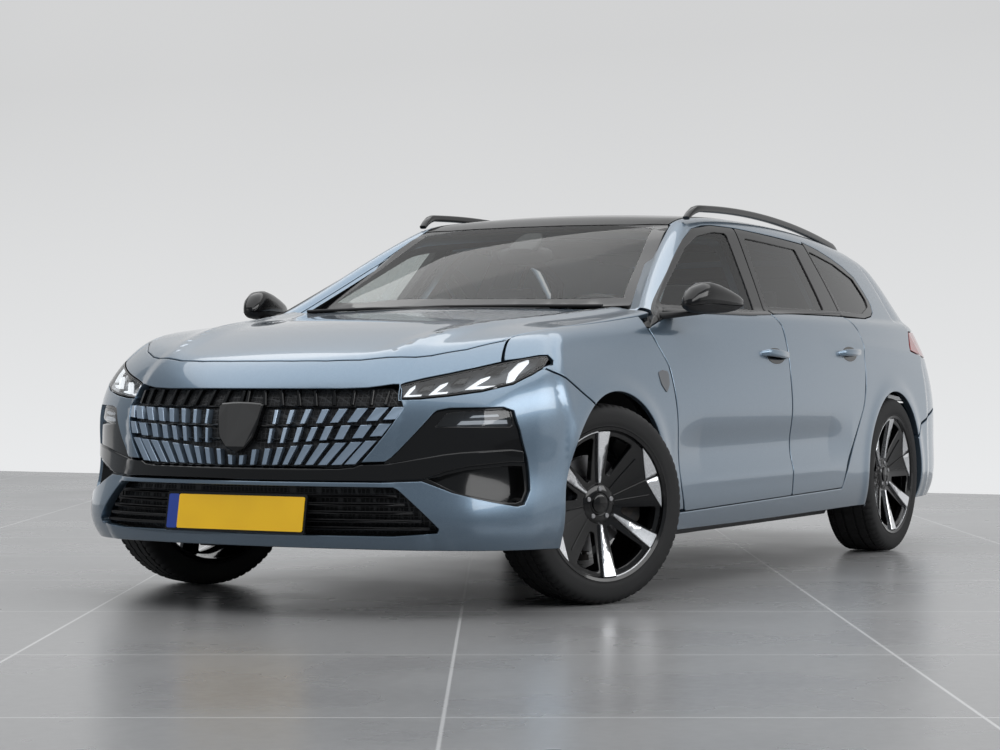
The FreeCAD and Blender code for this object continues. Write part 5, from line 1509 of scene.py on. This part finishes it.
# %% The tyre: bulged walls, four grooves round the tread, shoulder blocks
HALF_TYRE = [(0.2520, 0.0960), (0.2560, 0.1010), (0.2600, 0.1040), (0.2640, 0.1035), (0.2660, 0.1045),
             (0.2800, 0.1058), (0.2960, 0.1060), (0.3080, 0.1050), (0.3180, 0.1020), (0.3250, 0.0970),
             (0.3300, 0.0900), (0.3325, 0.0830), (0.3335, 0.0700), (0.3265, 0.0685), (0.3265, 0.0625),
             (0.3340, 0.0610), (0.3345, 0.0300), (0.3270, 0.0285), (0.3270, 0.0210), (0.3348, 0.0195)]
TYRE = HALF_TYRE + [(r, -y) for r, y in reversed(HALF_TYRE)]


def blocks(r, y, step):
    """Cross cuts between the shoulder blocks, and finer ones in the ribs."""
    if 0.069 < abs(y) < 0.098 and r > 0.324:
        return r - 0.005 * (step % 4 == 0)
    if abs(y) < 0.062 and r > 0.333:
        return r - 0.003 * (step % 8 == (2 if y > 0 else 6))
    return r


carcass = lathe(TYRE, 288, blocks)

# %% Set into the wheels
STEER_AT_REST = math.radians(-24.5)
RIM_SHARP = 35          # degrees
WHEEL_PIECES = [
    ("rim_web", gathered(web, hub, *ribs), "gloss_black", "rim", "rim_gloss_black"),
    ("rim_barrel", barrel, "gloss_black", "rim", "rim_gloss_black"),
    ("rim_machined", gathered(*machined), "machined", "rim", "rim_gloss_black"),
    ("wheel_bolts", gathered(*bolts), "rotor", "rim", None),
    ("brake_disc", disc, "rotor", "rim", None),
    ("tread", carcass, "rubber", "tyre", "tyre"),
]


def set_wheel(end, tag):
    """Places every piece of one wheel about the middle of its tyre in the frame."""
    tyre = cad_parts[f"tyre_{end}_{tag}"]
    corners = np.array([tuple(tyre.matrix_world @ Vector(c)) for c in tyre.bound_box])
    middle = (corners.min(axis=0) + corners.max(axis=0)) / 2
    turn = STEER_AT_REST if end == "front" else 0.0
    c, s = math.cos(turn), math.sin(turn)
    for kind, (points, faces), look, node, slot in WHEEL_PIECES:
        # drawn as seen from outside: to the reader's right is the car's tail on the left side, its nose on the right
        x, y, z = (points * ((-1, 1, 1) if tag == "left" else (1, -1, 1))).T
        here = np.stack([c * x - s * y, s * x + c * y, z], axis=1) + middle
        piece = add_mesh(f"{kind}_{end}_{tag}", here, faces, materials[look], smooth=True)
        fit(turned_out(piece, RIM_SHARP), f"wheel_{end}_{tag}", f"{node}_{end}_{tag}", slot=slot)


for corner in CORNERS:
    set_wheel(*corner.split("_"))
print("tread points", len(carcass[0]), "rim pieces", len(WHEEL_PIECES))

# %% [markdown]
# ## Mirrors, rails, handles and other trim
# Bars and pods such as a mirror, a roof rail or a door handle are lofts: a few closed rings, each an ellipse
# or a rounded square about a point of a path, joined by quads. `loft` makes them all.


# %% Lofts through rings
def ring(centre, wide, high, half_w, half_h, power=2.5, count=20):
    """A closed superellipse about a point; wide and high are its two unit directions."""
    centre, wide, high = np.array(centre, float), np.array(wide, float), np.array(high, float)
    out = []
    for k in range(count):
        a = 2 * math.pi * k / count
        c, s = math.cos(a), math.sin(a)
        u = math.copysign(abs(c) ** (2 / power), c) * half_w
        v = math.copysign(abs(s) ** (2 / power), s) * half_h
        out.append(centre + wide * u + high * v)
    return out


def loft(rings):
    """Points and faces of a closed skin through rings of equal count, with flat ends."""
    n, points = len(rings[0]), [p for r in rings for p in r]
    faces = [[i * n + k, i * n + (k + 1) % n, (i + 1) * n + (k + 1) % n, (i + 1) * n + k]
             for i in range(len(rings) - 1) for k in range(n)]
    return np.array(points), faces + [list(range(n))[::-1], [(len(rings) - 1) * n + k for k in range(n)]]


def bar(path, half_w, half_h, high=(0, 0, 1), power=2.5, count=16):
    """A bar along a path of points; the half sizes may change along it."""
    path, high = np.array(path, float), np.array(high, float)
    ahead = np.gradient(path, axis=0)
    ahead /= np.linalg.norm(ahead, axis=1, keepdims=True)
    half_w, half_h = np.broadcast_to(half_w, len(path)), np.broadcast_to(half_h, len(path))
    rings = []
    for p, t, w, h in zip(path, ahead, half_w, half_h):
        wide = np.cross(t, high)
        wide /= np.linalg.norm(wide)
        rings.append(ring(p, wide, np.cross(wide, t), w, h, power, count))
    return loft(rings)


def made_from(name, shape, look, side=1, sharp=40):
    """A mesh object from points and faces, smooth but for its sharp edges, mirrored where side is -1."""
    points, faces = shape
    return turned_out(add_mesh(name, np.array(points) * (1, side, 1), faces, materials[look], smooth=True), sharp)


def on_flank(x, z, proud=0.0):
    """Point of the flank at x and z, pushed out of it."""
    spot = from_side.onto(np.array([[x, z]]))
    return spot[0] + outward(spot, form=beside)[0] * proud


# %% Mirrors: along each housing the share of its length, its top, its foot and its half width
SHARES = np.array([0.00, 0.04, 0.12, 0.25, 0.40, 0.58, 0.75, 0.88, 0.95, 1.00])
TOPS = np.array([1.026, 1.045, 1.072, 1.093, 1.099, 1.091, 1.077, 1.064, 1.056, 1.050])
FEET = np.array([1.010, 0.996, 0.988, 0.985, 0.985, 0.986, 0.990, 0.996, 1.001, 1.006])
WIDTHS = np.array([0.008, 0.024, 0.036, 0.044, 0.045, 0.044, 0.041, 0.037, 0.033, 0.028])
pod_start, pod_end = np.array([0.970, 0.928]), np.array([0.645, 0.990])
pod_way = (pod_end - pod_start) / np.linalg.norm(pod_end - pod_start)
pod_side = (-pod_way[1], pod_way[0], 0)


def pod(low_share, high_share):
    """The mirror's housing between two shares of its height."""
    rings = []
    for share, top, foot, wide in zip(SHARES, TOPS, FEET, WIDTHS):
        x, y = pod_start + (pod_end - pod_start) * share
        whole = ring((x, y, (top + foot) / 2), pod_side, (0, 0, 1), wide, (top - foot) / 2, 2.4, 28)
        lo, hi = foot + (top - foot) * low_share, foot + (top - foot) * high_share
        rings.append([np.array([p[0], p[1], min(max(p[2], lo), hi)]) for p in whole])
    return loft(rings)


mirror_arm = bar([(0.965, 0.800, 0.972), (0.925, 0.838, 0.978), (0.880, 0.880, 0.984), (0.840, 0.925, 0.990),
                  (0.815, 0.950, 0.994)], [0.020, 0.030, 0.036, 0.040, 0.036], [0.016, 0.013, 0.011, 0.010, 0.008])
glass_x, glass_y = pod_end
mirror_pane = loft([ring((glass_x - d, glass_y + d * 0.19, 1.028), pod_side, (0, 0, 1), 0.025, 0.019, 3.0, 28)
                    for d in (-0.001, 0.002)])
for side, tag in SIDES:
    fit(made_from(f"mirror_cap_{tag}", pod(0.30, 1.0), "gloss_black", side), f"door_front_{tag}", f"mirror_{tag}",
        slot="trim_gloss_black")
    fit(made_from(f"mirror_base_{tag}", gathered(pod(0.0, 0.285), mirror_arm), "plastic", side), f"door_front_{tag}",
        f"mirror_{tag}", slot="plastic_black")
    fit(made_from(f"mirror_glass_{tag}", mirror_pane, "rotor", side), f"door_front_{tag}", f"mirror_{tag}")

# %% Roof rails
rail_path = smooth_line([(0.107, 0.598, 1.419), (-0.228, 0.603, 1.430), (-0.600, 0.603, 1.418),
                         (-1.039, 0.600, 1.388), (-1.380, 0.590, 1.345)], 26)
rail_path = np.concatenate([[(0.198, 0.590, 1.378), (0.172, 0.592, 1.396), (0.140, 0.595, 1.411)], rail_path,
                            [(-1.415, 0.588, 1.336), (-1.445, 0.586, 1.322), (-1.465, 0.584, 1.308)]])
thick = [0.008, 0.011] + [0.014] * (len(rail_path) - 4) + [0.011, 0.008]
rail = bar(rail_path - (0, 0, 0.003), [0.014] * len(rail_path), thick, power=3.5)
rails = gathered(rail, (rail[0] * (1, -1, 1), rail[1]))
fit(made_from("rails", rails, "gloss_black"), "body", "roof_rails", slot="trim_gloss_black")

# %% Door handles, belt strips, blank badge, cowl, wipers
STRIPS = {"door_front": [(0.925, 0.993), (0.560, 0.992), (0.208, 0.995), (-0.022, 1.004), (-0.016, 1.018),
                         (0.112, 1.014), (0.500, 1.008), (0.895, 1.007)], "door_rear": [(-0.040, 1.006),
          (-0.450, 1.018), (-0.885, 1.028), (-0.885, 1.037), (-0.450, 1.030), (-0.036, 1.020)]}
# along the grip: share of its length, how far it stands off the door, half width, half height
GRIP = [(0.0, -0.004, 0.006, 0.009), (0.06, 0.012, 0.007, 0.012), (0.16, 0.022, 0.007, 0.014),
        (0.5, 0.026, 0.007, 0.015), (0.84, 0.022, 0.007, 0.014), (0.94, 0.012, 0.007, 0.012),
        (1.0, -0.004, 0.006, 0.009)]
BADGE = [(1.061, 0.778, 0.01), (1.100, 0.783, 0.02), (1.139, 0.776, 0.01), (1.133, 0.733, 0.03), (1.100, 0.703, 0.01),
         (1.068, 0.733, 0.03)]
# each grip's ends: x of both, z of both
HANDLES = {"door_front": (-0.030, 0.205, 0.838, 0.850), "door_rear": (-0.865, -0.630, 0.862, 0.856)}
for side, tag in SIDES:
    for door in ("door_front", "door_rear"):
        owner = f"{door}_{tag}"
        panel(f"belt_{owner}", from_side, evenly(np.array(STRIPS[door]), 0.03), on=owner, node=owner,
              slot="trim_gloss_black", depth=-0.0035, gap=0.0, hem=0.006, spacing=0.02, skin="gloss_black",
              side=side)
        x0, x1, z0, z1 = HANDLES[door]
        grip = bar([on_flank(x0 + (x1 - x0) * s, z0 + (z1 - z0) * s, lift) for s, lift, _, _ in GRIP],
                   [g[2] for g in GRIP], [g[3] for g in GRIP])
        # under each grip a gloss black ellipse is laid onto the door, not sunk into it: painted shade of the hollow
        # behind the grip
        a, b = (x0 + x1) / 2 - 0.012, (z0 + z1) / 2 - 0.004
        bowl = [(a + 0.088 * math.cos(t), b + 0.031 * math.sin(t)) for t in np.linspace(0, 2 * math.pi, 41)[:-1]]
        panel(f"handle_bowl_shade_{owner}", from_side, np.array(bowl), on=owner, node=owner, slot="trim_gloss_black",
              depth=-0.0012, gap=0.0, edge=0.001, hem=0.003, spacing=0.02, skin="gloss_black", side=side)
        fit(made_from(f"handle_{owner}", grip, "paint", side), owner, owner, slot="body_paint")
    panel(f"badge_blank_{tag}", from_side, rounded(BADGE, 0.006), node=f"fender_{tag}", depth=-0.003, gap=0.0,
          edge=0.0015, hem=0.005, spacing=0.01, skin="lamp_grey", side=side)
cowl_front = [(1.083, 0.0, 0.986), (1.075, 0.300, 0.984), (1.048, 0.500, 0.980), (1.010, 0.690, 0.972)]
cowl_back = [(0.985, 0.0, 1.006), (0.955, 0.300, 1.004), (0.905, 0.520, 1.002), (0.860, 0.668, 1.000)]
whole = [[(x, -y, z) for x, y, z in reversed(line)] + line[1:] for line in (cowl_front, cowl_back)]
cowl = strip("cowl_panel", whole[0], whole[1], 1, bulge=0.003, thick=0.012, count=40, across=5, skin="plastic")
fit(cowl, "body", slot="plastic_black")
wipers = [bar([(1.000, 0.620, 1.013), (1.030, 0.300, 1.017), (1.035, 0.000, 1.018), (1.020, -0.120, 1.016)],
              0.007, 0.006), bar([(1.045, 0.020, 1.010), (1.030, -0.320, 1.015), (0.985, -0.640, 1.010)], 0.007,
          0.006)]
fit(made_from("wipers", gathered(*wipers), "plastic"), "body", slot="plastic_black")
print("trim done; mirror points", len(mirror_arm[0]))

# %% [markdown]
# ## Tail: dark band, spoiler, apron

# %% What is laid onto the tailgate and the rear bumper
band_loop = traced(over_back, [(from_rear, mirror_run([(0.0, 0.860), (0.600, 0.864), (0.622, 0.876), (0.622, 0.948),
                                                        (0.600, 0.956), (0.0, 0.960)]))])
panel("tail_band", over_back, band_loop, on="tailgate", node="tailgate", slot="trim_gloss_black", **LAID_ON,
      skin="gloss_black")
apron_loop = traced(around_back, [(from_rear, mirror_run([(0.0, 0.232), (0.560, 0.232), (0.600, 0.300),
                    (0.520, 0.368), (0.0, 0.372)]))])
panel("rear_apron", around_back, apron_loop, node="rear_bumper", slot="plastic_black", **LAID_ON, skin="plastic")
LIP = [(-1.700, 1.318), (-1.860, 1.302, 0.05), (-1.968, 1.284, 0.006), (-1.962, 1.274, 0.006), (-1.900, 1.270),
       (-1.720, 1.296)]
lip = rounded(LIP, 0.012)
# the lip bows forward and down towards its ends
wing_rings = [[np.array((x + 0.10 * t ** 4, 0.470 * t, z - 0.030 * t ** 2 - 0.02 * t ** 6)) for x, z in lip]
              for t in np.linspace(-1, 1, 25)]
fit(made_from("spoiler", loft(wing_rings), "gloss_black", sharp=50), "tailgate", "tailgate", slot="trim_gloss_black")
print("tail done")

# %% [markdown]
# ## Cabin
# A seat is pads: a cushion, a backrest and headrests. Each starts as a rounded block a little smaller than
# the pad, is remeshed into even cells and blown up by a cloth simulation; how far a point may move is capped,
# so that the pad keeps its place in the seat.


# %% Pads blown up by cloth
PAD_CELL, PAD_PRESSURE, PAD_FRAMES = 0.012, 4.0, 20       # cell in metres


def pad(name, outline, y0, y1, cap):
    """A cushion over a side-view outline between two widths, swelled by cloth pressure."""
    shape = rounded(outline, 0.02)
    n = len(shape)
    points = [(x, y, z) for y in (y0, y1) for x, z in shape]
    faces = [list(range(n)), list(range(2 * n - 1, n - 1, -1))]
    faces += [[k, n + k, n + (k + 1) % n, (k + 1) % n] for k in range(n)]
    piece = add_mesh(name, points, faces, materials["cloth"], smooth=True)
    remesh = piece.modifiers.new("cells", "REMESH")
    remesh.mode = "VOXEL"
    remesh.voxel_size = PAD_CELL
    bpy.context.view_layer.objects.active = piece
    piece.select_set(True)
    bpy.ops.object.modifier_apply(modifier="cells")
    start = np.array([tuple(v.co) for v in piece.data.vertices])
    cloth = piece.modifiers.new("swell", "CLOTH")
    cloth.settings.use_pressure = True
    cloth.settings.uniform_pressure_force = PAD_PRESSURE
    cloth.settings.effector_weights.gravity = 0.0
    cloth.point_cache.frame_start, cloth.point_cache.frame_end = 1, PAD_FRAMES
    for step in range(1, PAD_FRAMES + 1):
        bpy.context.scene.frame_set(step)
    graph = bpy.context.evaluated_depsgraph_get()
    swelled = piece.evaluated_get(graph).to_mesh()
    there = np.array([tuple(v.co) for v in swelled.vertices])
    piece.evaluated_get(graph).to_mesh_clear()
    piece.modifiers.remove(cloth)
    bpy.context.scene.frame_set(1)
    move = there - start
    length = np.linalg.norm(move, axis=1, keepdims=True)
    move *= np.minimum(1.0, cap / np.maximum(length, 1e-9))
    piece.data.vertices.foreach_set("co", (start + move).ravel())
    piece.data.update()
    piece.select_set(False)
    return piece


CUSHION = [(0.455, 0.330), (0.465, 0.455, 0.05), (0.330, 0.462, 0.10), (0.030, 0.430, 0.05), (0.020, 0.330)]
BACKREST = [(0.010, 0.400, 0.04), (0.020, 0.480, 0.05), (-0.100, 0.925, 0.06), (-0.150, 0.945, 0.03),
            (-0.190, 0.925, 0.04), (-0.090, 0.400, 0.04)]
HEAD = [(-0.140, 1.000, 0.03), (-0.152, 1.130, 0.03), (-0.215, 1.132, 0.03), (-0.208, 1.000, 0.03)]


def shifted(outline, dx):
    """A side-view outline, moved along the car."""
    return [(p[0] + dx,) + tuple(p[1:]) for p in outline]


def seat_of(tag, node, dx, y0, y1, heads):
    """Pads, posts and base of one seat, standing for a CAD node."""
    made = [pad(f"{tag}_{part}", shifted(shape, dx), y0 + 0.012, y1 - 0.012, 0.014)
            for part, shape in (("cushion", CUSHION), ("backrest", BACKREST))]
    made += [pad(f"{tag}_headrest_{k}", shifted(HEAD, dx), y - 0.105, y + 0.105, 0.010) for k, y in enumerate(heads)]
    for piece in made:
        fit(piece, "body", node, slot="seat_cover")
    posts = [bar([(dx - 0.165, y + s, 0.900), (dx - 0.172, y + s, 1.020)], 0.006, 0.006, high=(1, 0, 0))
             for y in heads for s in (-0.04, 0.04)]
    fit(made_from(f"{tag}_posts", gathered(*posts), "rotor"), "body", node)
    base = loft([ring((dx + 0.18, (y0 + y1) / 2, z), (1, 0, 0), (0, 1, 0), 0.24, (y1 - y0) / 2 - 0.03, 4.0, 24)
                 for z in (0.235, 0.335)])
    fit(made_from(f"{tag}_base", base, "plastic"), "body", node, slot="plastic_black")


FRONT_SEAT_X, REAR_SEAT_X = 0.060 - 0.045, -0.760 - 0.045
for side, tag in ((1, "driver"), (-1, "passenger")):
    low, high = sorted((side * 0.130, side * 0.610))
    seat_of(f"{tag}_seat", "front_seats", FRONT_SEAT_X, low, high, [side * 0.370])
seat_of("rear_bench", "rear_seat", REAR_SEAT_X, -0.555, 0.555, [-0.380, 0.0, 0.380])

# %% Dashboard, screens, console and steering wheel
DASH = [(0.945, 0.640), (0.945, 0.925), (0.840, 0.945, 0.05), (0.735, 0.958, 0.04), (0.625, 0.905, 0.03),
        (0.640, 0.790, 0.03), (0.680, 0.700, 0.05)]
HOOD = [(0.690, 0.935, 0.01), (0.610, 0.925, 0.01), (0.612, 0.955, 0.01), (0.700, 0.962, 0.01)]
TOUCH = [(0.632, 0.800, 0.004), (0.622, 0.900, 0.004), (0.614, 0.899, 0.004), (0.624, 0.799, 0.004)]


def across_car(shape, start, stop, count):
    """A side-view shape drawn out across the car."""
    return loft([[np.array((x, y, z)) for x, z in shape] for y in np.linspace(start, stop, count)])


board = across_car(rounded(DASH, 0.012), -0.665, 0.665, 12)
fit(made_from("dash_board", board, "plastic", sharp=30), "body", "dashboard", slot="plastic_black")
hood = across_car(rounded(HOOD, 0.006) + (0.006, 0.001), 0.200, 0.540, 6)
touch = across_car(rounded(TOUCH, 0.004), -0.130, 0.130, 4)
fit(made_from("dash_screens", gathered(hood, touch), "gloss_black", sharp=30), "body", "dashboard",
    slot="trim_gloss_black")
console = loft([ring((0.380, 0.0, z), (1, 0, 0), (0, 1, 0), 0.310, w, 5.0, 28) for z, w in
                ((0.235, 0.085), (0.500, 0.084), (0.540, 0.078), (0.552, 0.066))])
fit(made_from("console", console, "plastic"), "body", "dashboard", slot="plastic_black")
turn = math.radians(-65)
wheel_x, wheel_y = np.array((math.cos(turn), 0, -math.sin(turn))), np.array((0, 1.0, 0))
axis = np.cross(wheel_x, wheel_y)
hub_at = np.array((0.462, 0.370, 0.905))
rim_rings = []
for a in np.linspace(0, 2 * math.pi, 49):
    out = wheel_x * math.cos(a) + wheel_y * math.sin(a)
    rim_rings.append(ring(hub_at + out * 0.174, out, axis, 0.0135, 0.0125, 2.0, 10))
spoke_bars = [bar([hub_at + d * 0.02, hub_at + d * 0.16], 0.016, 0.005, high=axis)
              for d in (wheel_y, -wheel_y, -wheel_x)]
boss = bar([hub_at - axis * 0.03, hub_at + axis * 0.012], [0.055, 0.050], [0.055, 0.050], high=(0, 1, 0), count=24)
column = bar([hub_at - axis * 0.025, hub_at - axis * 0.22], 0.022, 0.022, high=(0, 1, 0))
fit(made_from("steering_wheel", gathered(loft(rim_rings), boss, column, *spoke_bars), "plastic"), "body", "dashboard",
    slot="plastic_black")

# %% Mirror and camera housing behind the windscreen
housing = loft([ring((x, 0.0, z), (0, 1, 0), (0.5, 0, 0.86), w, h, 3.0, 20) for x, z, w, h in
                ((0.455, 1.250, 0.050, 0.010), (0.430, 1.262, 0.065, 0.018), (0.370, 1.300, 0.055, 0.014),
                 (0.345, 1.318, 0.040, 0.008))])
inner_mirror = loft([ring((x, 0.0, 1.232), (0, 1, 0), (0, 0, 1), w, h, 3.5, 24) for x, w, h in
                     ((0.425, 0.105, 0.026), (0.415, 0.120, 0.034), (0.405, 0.118, 0.032))])
fit(made_from("mirror_housing", gathered(housing, inner_mirror), "plastic"), "body", "windscreen")
print("cabin done")

# %% Studio: floor, wall, world and lights
REACH, WALL_X, WALL_H = 40, -6.5, 12        # half of the floor's side, the wall's place and height, in metres
floor = add_mesh("floor", [(-REACH, -REACH, 0), (REACH, -REACH, 0), (REACH, REACH, 0), (-REACH, REACH, 0)],
                 [(0, 1, 2, 3)], materials["floor"])
back = add_mesh("wall", [(WALL_X, -REACH, 0), (WALL_X, REACH, 0), (WALL_X, REACH, WALL_H), (WALL_X, -REACH, WALL_H)],
                [(0, 1, 2, 3)], materials["wall"])
world = bpy.data.worlds.new("world")
bpy.context.scene.world = world
world.use_nodes = True
world.node_tree.nodes["Background"].inputs[0].default_value = (0.62, 0.66, 0.70, 1.0)
world.node_tree.nodes["Background"].inputs[1].default_value = 0.50
bpy.context.scene.view_settings.view_transform = "Standard"


def area_light(name, place, aim, size, power):
    """A soft light of so many watts at a place, turned towards an aim."""
    light = bpy.data.lights.new(name, "AREA")
    light.shape = "RECTANGLE"
    light.size, light.size_y = size
    light.energy = power
    made = bpy.data.objects.new(name, light)
    bpy.context.scene.collection.objects.link(made)
    made.location = place
    made.rotation_euler = (Vector(aim) - Vector(place)).to_track_quat("-Z", "Y").to_euler()


area_light("ceiling", (0.5, 0.0, 6.5), (0.0, 0.0, 0.0), (14.0, 11.0), 700)
area_light("front", (8.5, -4.0, 4.0), (1.5, 0.0, 0.5), (6.0, 3.0), 50)
area_light("flank", (1.0, 9.0, 4.0), (0.0, 0.5, 0.6), (11.0, 3.0), 380)
